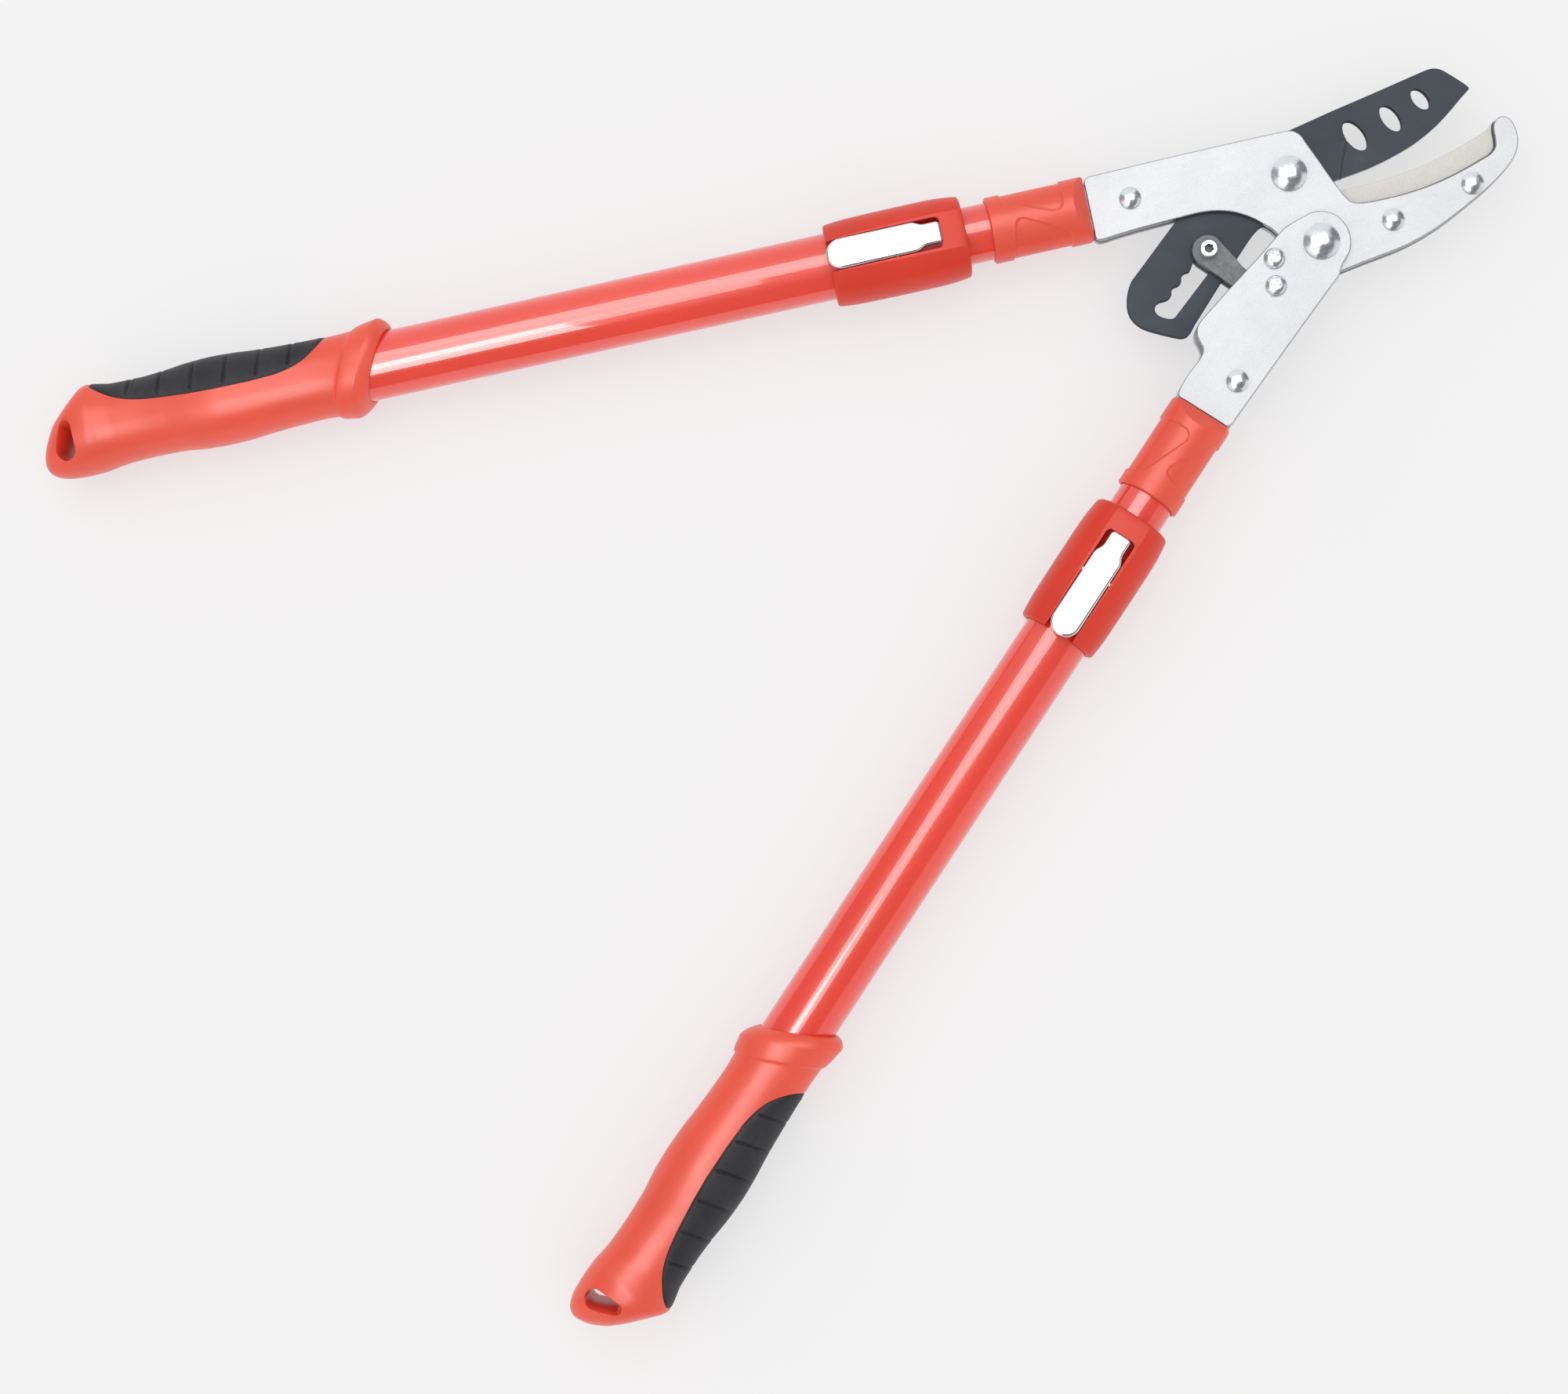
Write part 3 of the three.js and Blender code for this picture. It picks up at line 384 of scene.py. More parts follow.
def plate(name, outer, holes, z0, z1, top=0.4, bottom=0.2, seg=4, grind=None):
    """Flat plate with rolled edges of size top and bottom.

    Material 0 is the faces, 1 the edges, 3 the larger rolls. grind gives each point of the
    outline a weight 0..1 that turns the rolled edge into the ground bevel.
    """
    verts, faces, indices = [], [], []
    top_rows, bottom_rows = [], []
    for number, loop in enumerate([ccw(outer)] + [ccw(hole)[::-1] for hole in holes]):
        points = np.asarray(loop, float)
        normals = inset_normals(points)
        count = len(points)
        weight = grind(points) if grind and number == 0 else np.zeros(count)
        profile = []
        for k in range(seg + 1):
            angle, part = math.pi / 2 * k / seg, k / seg
            inset, z = top * (1 - math.sin(angle)), z1 - top * (1 - math.cos(angle))
            profile.append((
                (1 - weight) * inset + weight * GRIND_INSET * (1 - part),
                (1 - weight) * z + weight * (z1 - (z1 - GRIND_LAND) * part)))
        bottom_seg = seg if grind else 2
        for k in range(bottom_seg + 1):
            angle, part = math.pi / 2 * k / bottom_seg, k / bottom_seg
            inset, z = bottom * (1 - math.cos(angle)), z0 + bottom * (1 - math.sin(angle))
            ground_z = GRIND_LAND - GRIND_DROP + (z0 - GRIND_LAND + GRIND_DROP) * part
            profile.append((
                (1 - weight) * inset + weight * GRIND_WIDTH * part,
                (1 - weight) * z + weight * ground_z))
        rows = []
        for inset, z in profile:
            rows.append(len(verts))
            verts.extend(np.column_stack([points + normals * inset[:, None], z]).tolist())
        for row in range(len(rows) - 1):
            faces += band_faces(rows[row], rows[row + 1], count)
            rolled = ((row < seg * 0.5 and top > 0.3)
                      or (row > len(rows) - 3 and bottom > 0.3))
            indices += [3 if rolled else 1] * count
        top_rows.append((rows[0], count))
        bottom_rows.append((rows[-1], count))
    caps = cap_faces(verts, top_rows, False) + cap_faces(verts, bottom_rows, True)
    return make_object(name, verts, faces + caps, indices + [0] * len(caps))


def square_plate(outline, z0, z1):
    """Plate with square edges, used as a cutter."""
    return plate("cut", outline, [], z0, z1, top=0, bottom=0, seg=1)


def prism(name, loop, z0, z1):
    """Straight prism over a closed loop, repeated points dropped."""
    points = []
    for x, y in loop:
        if not points or math.hypot(x - points[-1][0], y - points[-1][1]) > 0.05:
            points.append((float(x), float(y)))
    if math.hypot(points[0][0] - points[-1][0], points[0][1] - points[-1][1]) < 0.05:
        points.pop()
    points = ccw(points)
    count = len(points)
    verts = [(x, y, z) for z in (z0, z1) for x, y in points]
    faces = [tuple(range(count))[::-1], tuple(range(count, 2 * count))]
    for i in range(count):
        j = (i + 1) % count
        faces.append((i, j, count + j, count + i))
    return make_object(name, verts, faces)


def turned(name, profile, axis="Z", at=(0, 0, 0), seg=64):
    """Turned body about a local axis through at: profile of (radius, height).

    The profile starts and ends on the axis, or closes on itself.
    """
    verts, faces, rows = [], [], []
    for radius, height in profile:
        count = 1 if radius < 1e-6 else seg
        rows.append(range(len(verts), len(verts) + count))
        for i in range(count):
            angle = 2 * math.pi * i / seg
            verts.append((radius * math.cos(angle), radius * math.sin(angle), height))
    pairs = list(zip(rows, rows[1:]))
    if len(rows[0]) > 1:
        pairs.append((rows[-1], rows[0]))
    for lower, upper in pairs:
        for i in range(seg):
            j = (i + 1) % seg
            if len(lower) == 1:
                faces.append((lower[0], upper[i], upper[j]))
            elif len(upper) == 1:
                faces.append((lower[i], upper[0], lower[j]))
            else:
                faces.append((lower[i], upper[i], upper[j], lower[j]))
    order = {"X": [2, 0, 1], "Y": [1, 2, 0], "Z": [0, 1, 2]}[axis]
    return make_object(name, np.array(verts, float)[:, order] + np.array(at, float), faces)


def loft(name, rings):
    """Skin through rings of equal length, with fans at both ends."""
    count = len(rings[0])
    verts = [tuple(point) for ring in rings for point in ring]
    faces = []
    for k in range(len(rings) - 1):
        here, there = k * count, (k + 1) * count
        for i in range(count):
            j = (i + 1) % count
            faces.append((here + i, here + j, there + j, there + i))
    for k in (0, len(rings) - 1):
        middle = len(verts)
        verts.append(tuple(np.mean(np.array(rings[k], float), 0)))
        for i in range(count):
            face = (k * count + i, k * count + (i + 1) % count, middle)
            faces.append(face if k else face[::-1])
    return make_object(name, verts, faces)


def wire(name, points, radius, seg):
    """Round wire along a polyline with rounded ends."""
    path = np.array(points, float)
    tangent = np.gradient(path, axis=0)
    tangent /= np.linalg.norm(tangent, axis=1)[:, None]
    across = np.cross(tangent[0], (0, 0, 1.0))
    across /= np.linalg.norm(across)
    sides = []
    for along in tangent:
        across = across - along * (across @ along)
        across /= np.linalg.norm(across)
        sides.append((across, np.cross(along, across)))
    # (path index, degrees round the end cap)
    stations = [(0, -75), (0, -50), (0, -25)] + [(i, 0) for i in range(len(path))]
    stations += [(-1, 25), (-1, 50), (-1, 75)]
    rings = []
    for i, degrees in stations:
        centre = path[i] + tangent[i] * radius * math.sin(math.radians(degrees))
        size = radius * math.cos(math.radians(degrees))
        rings.append([
            tuple(centre + size * (math.cos(2 * math.pi * k / seg) * sides[i][0]
                                   + math.sin(2 * math.pi * k / seg) * sides[i][1]))
            for k in range(seg)])
    return loft(name, rings)


def boolean(piece, cutter, operation="DIFFERENCE", keep=False):
    """Boolean applied to the mesh; the cutter is removed unless kept."""
    before = len(piece.data.polygons)
    # the exact solver steps in where the manifold one gives nothing or no change
    for solver in ("MANIFOLD", "EXACT"):
        modifier = piece.modifiers.new("b", "BOOLEAN")
        modifier.operation = operation
        modifier.object = cutter
        modifier.solver = solver
        bpy.context.view_layer.update()
        graph = bpy.context.evaluated_depsgraph_get()
        mesh = bpy.data.meshes.new_from_object(piece.evaluated_get(graph))
        piece.modifiers.clear()
        count = len(mesh.polygons)
        if count > 3 and (count != before or operation == "INTERSECT"):
            old = piece.data
            piece.data = mesh
            bpy.data.meshes.remove(old)
            break
        bpy.data.meshes.remove(mesh)
    if not keep:
        bpy.data.objects.remove(cutter, do_unlink=True)
    return piece


def put(piece, place, slot, *materials, angle=32.0, flat_faces=False):
    """Final step for a piece: weld, shade, keep local coordinates as "loc", move, hand to its body.

    A piece named x_fine takes the place of the record's node x. Edges sharper than angle stay
    hard; flat_faces also keeps the faces of material 0 flat.
    """
    mesh = piece.data
    edit = bmesh.new()
    edit.from_mesh(mesh)
    bmesh.ops.remove_doubles(edit, verts=edit.verts, dist=2e-4)
    bmesh.ops.dissolve_degenerate(edit, edges=edit.edges, dist=1e-4)
    bmesh.ops.recalc_face_normals(edit, faces=edit.faces)
    for face in edit.faces:
        face.smooth = not (flat_faces and face.material_index == 0)
    for edge in edit.edges:
        if len(edge.link_faces) != 2:
            edge.smooth = False
            continue
        first, second = edge.link_faces
        edge.smooth = edge.calc_face_angle(0.0) <= math.radians(angle)
        if flat_faces and (first.material_index == 0) != (second.material_index == 0):
            edge.smooth = False
    layer = edit.verts.layers.float_vector.new("loc")
    for vert in edit.verts:
        vert[layer] = vert.co
    edit.to_mesh(mesh)
    edit.free()
    matrix, body = place
    mesh.transform(matrix)
    indices = [face.material_index for face in mesh.polygons]
    mesh.materials.clear()
    for material in materials:
        mesh.materials.append(material)
    if len(materials) > 1:
        mesh.polygons.foreach_set("material_index", indices)
    mesh.update()
    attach(piece, body)
    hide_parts(piece.name.removesuffix("_fine"))


# ------------------------------------------------------------------ node helpers
class Graph:
    """Short calls that add nodes to a material's or world's tree."""

    def __init__(self, owner):
        owner.use_nodes = True
        self.tree = owner.node_tree
        self.tree.nodes.clear()

    def feed(self, socket, value):
        """Links an output to the socket, or sets its value; colours get an alpha of 1."""
        if hasattr(value, "is_output"):
            self.tree.links.new(value, socket)
        else:
            socket.default_value = (*value, 1) if socket.type == "RGBA" else value

    def node(self, kind, inputs=None, **settings):
        node = self.tree.nodes.new(kind)
        for name, value in settings.items():
            setattr(node, name, value)
        for socket, value in (inputs or {}).items():
            self.feed(node.inputs[socket], value)
        return node

    def ramp(self, value, stops):
        """Colour ramp over stops of (position, colour)."""
        node = self.node("ShaderNodeValToRGB", {0: value})
        elements = node.color_ramp.elements
        while len(elements) > 1:
            elements.remove(elements[0])
        for i, (position, color) in enumerate(stops):
            element = elements[0] if i == 0 else elements.new(position)
            element.position = position
            element.color = (*color, 1)
        return node.outputs[0]

    def span(self, value, within=(0.3, 0.7), to=(0.0, 1.0), kind="LINEAR"):
        """Maps the range within onto the range to."""
        return self.node("ShaderNodeMapRange", {
            "From Min": within[0], "From Max": within[1], "To Min": to[0], "To Max": to[1],
            "Value": value}, interpolation_type=kind).outputs[0]

    def math(self, operation, first, second):
        return self.node("ShaderNodeMath", {0: first, 1: second}, operation=operation).outputs[0]

    def mix(self, factor, first, second):
        return self.node("ShaderNodeMix", {0: factor, 6: first, 7: second},
                         data_type="RGBA").outputs[2]


SOCKETS = {
    "color": "Base Color", "metal": "Metallic", "rough": "Roughness", "coat": "Coat Weight",
    "coat_rough": "Coat Roughness", "coat_ior": "Coat IOR", "spec": "Specular IOR Level",
    "sheen": "Sheen Weight", "sheen_rough": "Sheen Roughness", "aniso": "Anisotropic",
    "sss": "Subsurface Weight", "sss_scale": "Subsurface Scale",
    "glow": "Emission Color", "glow_strength": "Emission Strength",
}


class Finish(Graph):
    """Principled material. Coordinates are the piece's own in millimetres, or the object's."""

    def __init__(self, name, local=True):
        self.material = bpy.data.materials.new(name)
        super().__init__(self.material)
        self.shader = self.node("ShaderNodeBsdfPrincipled")
        self.node("ShaderNodeOutputMaterial", {0: self.shader.outputs[0]})
        if local:
            self.coords = self.node("ShaderNodeAttribute", attribute_type="GEOMETRY",
                                    attribute_name="loc").outputs["Vector"]
        else:
            self.coords = self.node("ShaderNodeTexCoord").outputs["Object"]

    def set(self, **values):
        for name, value in values.items():
            self.feed(self.shader.inputs[SOCKETS[name]], value)

    def stretched(self, scale, degrees=0.0):
        return self.node("ShaderNodeMapping", {
            "Scale": scale, "Rotation": (0, 0, math.radians(degrees)),
            "Vector": self.coords}).outputs[0]

    def noise(self, scale, detail=3.0, rough=0.55, vector=None, distortion=0.0):
        return self.node("ShaderNodeTexNoise", {
            "Scale": scale, "Detail": detail, "Roughness": rough, "Distortion": distortion,
            "Vector": vector or self.coords}).outputs["Fac"]

    def voronoi(self, scale, feature="F1"):
        return self.node("ShaderNodeTexVoronoi", {"Scale": scale, "Vector": self.coords},
                         feature=feature).outputs["Distance"]

    def blend(self, first, second, share):
        """share of the first value and the rest of the second."""
        return self.math("ADD", self.math("MULTIPLY", first, share),
                         self.math("MULTIPLY", second, 1 - share))

    def bump(self, height, strength, distance, after=None):
        """Bump on the shader's normal, on top of an earlier one if given."""
        inputs = {"Strength": strength, "Distance": distance, "Height": height}
        if after is not None:
            inputs["Normal"] = after
        normal = self.node("ShaderNodeBump", inputs).outputs[0]
        self.feed(self.shader.inputs["Normal"], normal)
        return normal


def shade(tone, factor):
    return tuple(min(1, value * factor) for value in tone)


# ------------------------------------------------------------------ materials
def satin_plate(name, rough):
    """Zinc plated sheet: fine speckle, slow blotches and faint drawn lines."""
    mat = Finish(name)
    fine = mat.noise(scale=2.6, detail=4, rough=0.7)
    slow = mat.noise(scale=0.035, detail=3, rough=0.6)
    drawn = mat.noise(scale=1.0, detail=3, rough=0.6, vector=mat.stretched((0.05, 1.7, 1)))
    specks = mat.span(mat.voronoi(scale=1.1), within=(0.02, 0.1))
    tone = mat.ramp(mat.blend(slow, fine, share=0.22), [
        (0.32, (0.355, 0.36, 0.376)), (0.5, (0.458, 0.463, 0.476)), (0.68, (0.54, 0.545, 0.553))])
    tone = mat.mix(mat.span(specks, within=(0, 1), to=(0.28, 0.0)), tone, (0.45, 0.46, 0.49))
    mat.set(color=tone, metal=0.40, spec=0.35,
            rough=mat.span(mat.blend(fine, drawn, share=0.7), to=(rough - 0.06, rough + 0.1)))
    speckle = mat.bump(fine, strength=0.4, distance=0.00008)
    mat.bump(drawn, strength=0.1, distance=0.00005, after=speckle)
    return mat.material


def sheared(name):
    """Blanked edge: fine striations through the thickness."""
    mat = Finish(name)
    tone = (0.47, 0.48, 0.50)
    lines = mat.noise(scale=1.0, detail=4, rough=0.7, vector=mat.stretched((3.2, 3.2, 0.22)))
    fine = mat.noise(scale=3.0, detail=2)
    mat.set(color=mat.ramp(lines, [(0.3, shade(tone, 0.5)), (0.55, tone), (0.8, shade(tone, 1.45))]),
            metal=1.0, rough=mat.span(fine, to=(0.26, 0.45)))
    mat.bump(lines, strength=0.35, distance=0.0001)
    return mat.material


def blade_coat(name, strength=1.0):
    """Dark blue-grey coated steel with a satin grain and faint handling marks."""
    mat = Finish(name)
    fine = mat.noise(scale=3.2, detail=3, rough=0.6)
    slow = mat.noise(scale=0.05, detail=4, rough=0.6, distortion=0.6)
    rub = mat.noise(scale=1.0, detail=4, rough=0.65,
                    vector=mat.stretched((0.06, 1.2, 1), degrees=25))
    tone = mat.ramp(slow, [
        (0.3, shade((0.032, 0.040, 0.053), strength)),
        (0.55, shade((0.037, 0.045, 0.059), strength)),
        (0.75, shade((0.043, 0.051, 0.065), strength))])
    marks = mat.span(rub, within=(0.62, 0.8), to=(0.0, 0.16 * strength))
    mat.set(color=mat.mix(marks, tone, (0.11, 0.118, 0.13)), metal=0.1, spec=0.22 * strength,
            rough=mat.span(mat.blend(fine, rub, share=0.6), to=(0.38, 0.56)))
    mat.bump(fine, strength=0.12, distance=0.00005)
    return mat.material


def ground_steel(name, degrees):
    """Bright steel with grinding lines."""
    mat = Finish(name)
    lines = mat.noise(scale=1.0, detail=5, rough=0.7,
                      vector=mat.stretched((5.5, 0.35, 2), degrees=degrees))
    tone = mat.ramp(lines, [
        (0.3, (0.55, 0.57, 0.6)), (0.5, (0.78, 0.79, 0.81)), (0.7, (0.92, 0.92, 0.93))])
    mat.set(color=tone, metal=1.0, rough=mat.span(lines, to=(0.16, 0.32)), aniso=0.4)
    mat.bump(lines, strength=0.25, distance=0.00005)
    return mat.material


def sintered(name):
    """Grainy grey-beige anvil metal with pores."""
    mat = Finish(name)
    grain = mat.noise(scale=2.2, detail=6, rough=0.75)
    coarse = mat.noise(scale=0.32, detail=4, rough=0.65)
    pores = mat.voronoi(scale=1.6)
    tone = mat.ramp(grain, [
        (0.28, (0.38, 0.362, 0.342)), (0.5, (0.585, 0.562, 0.538)), (0.72, (0.74, 0.716, 0.686))])
    tone = mat.mix(mat.span(pores, within=(0.0, 0.16), to=(0.35, 0.0)), tone, (0.30, 0.28, 0.26))
    tone = mat.mix(mat.span(coarse, within=(0.4, 0.75), to=(0.0, 0.3)), tone, (0.70, 0.66, 0.61))
    mat.set(color=tone, metal=0.25, rough=mat.span(grain, to=(0.55, 0.8)))
    rough_skin = mat.bump(grain, strength=0.5, distance=0.00018)
    mat.bump(mat.span(pores, within=(0.0, 0.2)), strength=0.4, distance=0.00015, after=rough_skin)
    return mat.material


def phosphate(name):
    """Dull dark phosphated steel with mottling and rubbed spots."""
    mat = Finish(name)
    fine = mat.noise(scale=2.4, detail=4, rough=0.65)
    spots = mat.noise(scale=0.4, detail=5, rough=0.7, distortion=0.4)
    tone = mat.ramp(spots, [
        (0.3, (0.10, 0.106, 0.11)), (0.5, (0.145, 0.152, 0.156)), (0.72, (0.20, 0.207, 0.212))])
    tone = mat.mix(mat.span(fine, within=(0.35, 0.7), to=(0.25, 0.0)), tone, (0.06, 0.062, 0.064))
    mat.set(color=tone, metal=0.35, spec=0.4, rough=mat.span(fine, to=(0.42, 0.64)))
    mat.bump(fine, strength=0.25, distance=0.00008)
    return mat.material


def chrome(name, rough, tone, grain=1.0):
    """Bright plated metal: faint polishing haze, small pits and a slightly uneven skin."""
    mat = Finish(name)
    haze = mat.noise(scale=0.5, detail=4, rough=0.6)
    fine = mat.noise(scale=4.0, detail=2, rough=0.6)
    pits = mat.span(mat.voronoi(scale=2.2), within=(0.0, 0.05), to=(0.25 * grain, 0.0))
    skin = mat.ramp(haze, [(0.3, shade(tone, 0.93)), (0.65, tone)])
    mat.set(color=mat.mix(pits, skin, (0.3, 0.31, 0.33)), metal=1.0,
            rough=mat.span(haze, to=(rough * 0.6, rough * 1.7)))
    uneven = mat.bump(haze, strength=0.05 * grain, distance=0.0001)
    mat.bump(fine, strength=0.04 * grain, distance=0.00003, after=uneven)
    return mat.material


def paint(name, red, rough=0.3):
    """Glossy red powder coat: clear gloss with faint orange peel and dust."""
    mat = Finish(name)
    peel = mat.noise(scale=0.42, detail=2, rough=0.4)
    fine = mat.noise(scale=2.2, detail=3, rough=0.5)
    slow = mat.noise(scale=0.012, detail=2, rough=0.5)
    tone = mat.ramp(slow, [(0.3, shade(red, 0.95)), (0.7, shade(red, 1.04))])
    dust = mat.span(mat.voronoi(scale=0.55), within=(0.0, 0.025), to=(0.22, 0.0))
    mat.set(color=mat.mix(dust, tone, (0.75, 0.35, 0.3)), spec=0.6,
            rough=mat.span(fine, to=(rough - 0.04, rough + 0.05)),
            coat=1.0, coat_rough=0.04, coat_ior=1.7)
    orange_peel = mat.bump(peel, strength=0.06, distance=0.00012)
    mat.bump(fine, strength=0.02, distance=0.00003, after=orange_peel)
    return mat.material


def moulded(name, red, rough, spec=0.55):
    """Red moulded plastic: satin grain, slow sheen change, faint rub marks."""
    mat = Finish(name)
    grain = mat.noise(scale=3.4, detail=4, rough=0.7)
    slow = mat.noise(scale=0.03, detail=3, rough=0.5)
    rub = mat.noise(scale=1.0, detail=4, rough=0.6, vector=mat.stretched((0.05, 0.7, 0.7)))
    tone = mat.ramp(slow, [(0.3, shade(red, 0.94)), (0.7, shade(red, 1.05))])
    marks = mat.span(rub, within=(0.66, 0.85), to=(0.0, 0.1))
    mat.set(color=mat.mix(marks, tone, (0.85, 0.4, 0.33)), spec=spec, sss=0.04, sss_scale=0.002,
            rough=mat.span(mat.blend(grain, rub, share=0.6), to=(rough - 0.05, rough + 0.07)))
    mat.bump(grain, strength=0.1, distance=0.00006)
    return mat.material


def rubber(name):
    """Soft black overmould: matt and finely pebbled."""
    mat = Finish(name)
    pebble = mat.voronoi(scale=1.7, feature="SMOOTH_F1")
    grain = mat.noise(scale=3.5, detail=4, rough=0.7)
    slow = mat.noise(scale=0.07, detail=4, rough=0.6)
    tone = mat.ramp(slow, [
        (0.3, (0.020, 0.0185, 0.0235)), (0.55, (0.028, 0.026, 0.032)), (0.75, (0.040, 0.037, 0.045))])
    mat.set(color=tone, spec=0.25, sheen=0.05, sheen_rough=0.5,
            rough=mat.span(grain, to=(0.5, 0.68)))
    fine = mat.bump(grain, strength=0.18, distance=0.0001)
    mat.bump(pebble, strength=0.08, distance=0.0001, after=fine)
    return mat.material


def nylon(name):
    mat = Finish(name)
    grain = mat.noise(scale=1.4, detail=4, rough=0.6)
    mat.set(color=mat.ramp(grain, [(0.3, (0.60, 0.58, 0.52)), (0.7, (0.74, 0.72, 0.66))]),
            rough=mat.span(grain, to=(0.45, 0.62)), sss=0.1, sss_scale=0.003)
    mat.bump(grain, strength=0.12, distance=0.0001)
    return mat.material


def wire_steel(name):
    mat = Finish(name)
    grain = mat.noise(scale=2.5, detail=4, rough=0.65)
    mat.set(color=mat.ramp(grain, [(0.3, (0.26, 0.27, 0.28)), (0.7, (0.52, 0.53, 0.54))]),
            metal=1.0, rough=mat.span(grain, to=(0.24, 0.42)))
    mat.bump(grain, strength=0.15, distance=0.00005)
    return mat.material


M_PLATE = satin_plate("head_plate_satin", rough=0.34)
M_PLATE_EDGE = sheared("head_plate_edge")
M_BLADE = blade_coat("blade_coat")
M_BLADE_EDGE = blade_coat("blade_coat_edge", strength=0.3)
M_GROUND = ground_steel("blade_ground", degrees=10)
M_ANVIL = sintered("anvil_sintered")
# dark phosphate of the pawl links, also laid on the anvil's trench and the pawl pin's socket as
# painted shade
M_LINK_AND_PAINTED_SHADE = phosphate("link_phosphate_and_painted_shade")
M_BRIGHT = chrome("bright_zinc", rough=0.18, tone=(0.88, 0.91, 0.95))
M_STEEL = chrome("turned_steel", rough=0.25, tone=(0.62, 0.63, 0.65))
M_CHROME = chrome("tab_chrome", rough=0.03, tone=(0.93, 0.935, 0.94), grain=0.4)
M_PAINT = paint("tube_paint", red=(0.84, 0.034, 0.009))
M_MOULD = moulded("red_mould", red=(0.80, 0.080, 0.040), rough=0.33)
M_SLEEVE = moulded("red_sleeve", red=(0.66, 0.040, 0.018), rough=0.36, spec=0.3)
M_PAD = rubber("pad_rubber")
M_NYLON = nylon("glide_nylon")
M_WIRE = wire_steel("spring_wire")
M_PLATE_ROLL = satin_plate("head_plate_rolled", rough=0.26)
PLATE_MATS = [M_PLATE, M_PLATE_EDGE, M_PLATE_EDGE, M_PLATE_ROLL]
BRIGHT = "bright_fastener"


# ------------------------------------------------------------------ head plates
def plate_pair(names, outline, holes, heights, front_roll, rear_roll, place, slot, mats, seg=4):
    """Front and rear plates, each with its larger rolled edge on the outside."""
    near, far = heights
    front = plate(names[0], outline, holes, near, far, top=front_roll, bottom=0.15, seg=seg)
    put(front, place, slot, *mats, flat_faces=True)
    rear = plate(names[1], outline, holes, -far, -near, top=0.15, bottom=rear_roll)
    put(rear, place, slot, *mats, flat_faces=True)


PLATE_FINE = smooth(PLATE_OUTLINE, 0.8)
plate_pair(
    ("upper_front_plate_fine", "upper_rear_plate_fine"), PLATE_FINE,
    [circle((0, 0), PIVOT_HOLE), circle(ARM_PIVOT, PIVOT_HOLE)]
    + [circle(at, RIVET_HOLE, 32) for at in (TANG_RIVET_FIXED, *ANVIL_RIVETS)],
    heights=(PLATE_IN, PLATE_OUT), front_roll=0.62, rear_roll=0.5, seg=6,
    place=ON_HEAD, slot="head_plate", mats=PLATE_MATS)


# ------------------------------------------------------------------ anvil
ANVIL_HALF = 1.8
ANVIL_UNEVEN = 0.12
SHADOW_TRENCH_OUTSIDE, SHADOW_TRENCH_INSIDE = 0.6, 0.5  # reach of the painted-shadow trench either side of the plate outline
SHADOW_TRENCH_Z = 1.05


def roughened(points):
    """Small fixed unevenness on the anvil's +y edge, as sintered metal has."""
    loop = np.asarray(points, float)
    run = np.cumsum(np.linalg.norm(np.roll(loop, -1, 0) - loop, axis=1))
    wave = (0.5 * np.sin(run * 2.1) + 0.3 * np.sin(run * 4.7 + 1.3)
            + 0.35 * np.sin(run * 9.1 + 0.4) + 0.3 * np.sin(run * 0.83 + 2.0))
    on_edge = (loop[:, 1] > -12) & (loop[:, 0] < 97)
    moved = loop + inset_normals(loop) * (ANVIL_UNEVEN * wave * on_edge)[:, None]
    return [tuple(point) for point in moved]


def anvil():
    """Anvil bar with a shallow trench in its front face along the plate's outline, painted dark as
    the shadow under the plate's edge.
    """
    body = plate("anvil_fine", roughened(ccw(smooth(ANVIL_OUTLINE, 0.45))),
                 [circle(at, RIVET_HOLE, 32) for at in ANVIL_RIVETS],
                 -ANVIL_HALF, ANVIL_HALF, top=0.35, bottom=0.35)
    line = np.asarray(ccw(PLATE_FINE), float)
    inward = inset_normals(line)
    shadow_trench = prism("shadow_trench", line - inward * SHADOW_TRENCH_OUTSIDE, SHADOW_TRENCH_Z, 2.6)
    boolean(shadow_trench, prism("shadow_trench_core", line + inward * SHADOW_TRENCH_INSIDE, 0.5, 3.2))
    boolean(body, shadow_trench)
    # the trench's faces take the dark phosphate: painted shadow of the crevice where the plate's edge
    # meets the anvil
    for face in body.data.polygons:
        lowest = min(body.data.vertices[i].co[2] for i in face.vertices)
        face.material_index = int(lowest > 0.9 and face.center[2] < 1.44)
    put(body, ON_HEAD, "anvil", M_ANVIL, M_LINK_AND_PAINTED_SHADE)


anvil()


# ------------------------------------------------------------------ rivets and bushes
def dome(radius, z, height, edge, count=14):
    """(radius, z) points of a low rivet head on z: short straight edge, then a round crown."""
    crown = (radius * radius + (height - edge) ** 2) / (2 * (height - edge))
    centre = z + height - crown
    start = math.asin(min(1, radius / crown))
    points = [(radius - 0.12, z), (radius, z + 0.12), (radius, z + edge)]
    for i in range(1, count):
        angle = start * (1 - i / count)
        points.append((crown * math.sin(angle), centre + crown * math.cos(angle)))
    return points + [(0.0, z + height)]


def rivet(name, at, shank, head, height, face):
    """Rivet with a domed head on both sides."""
    top = dome(head, face, height, 1.1 if head > 6 else 0.85)
    profile = [(radius, -z) for radius, z in reversed(top)] + [(shank, -face), (shank, face)] + top
    return turned(name, profile, at=(*at, 0), seg=96)


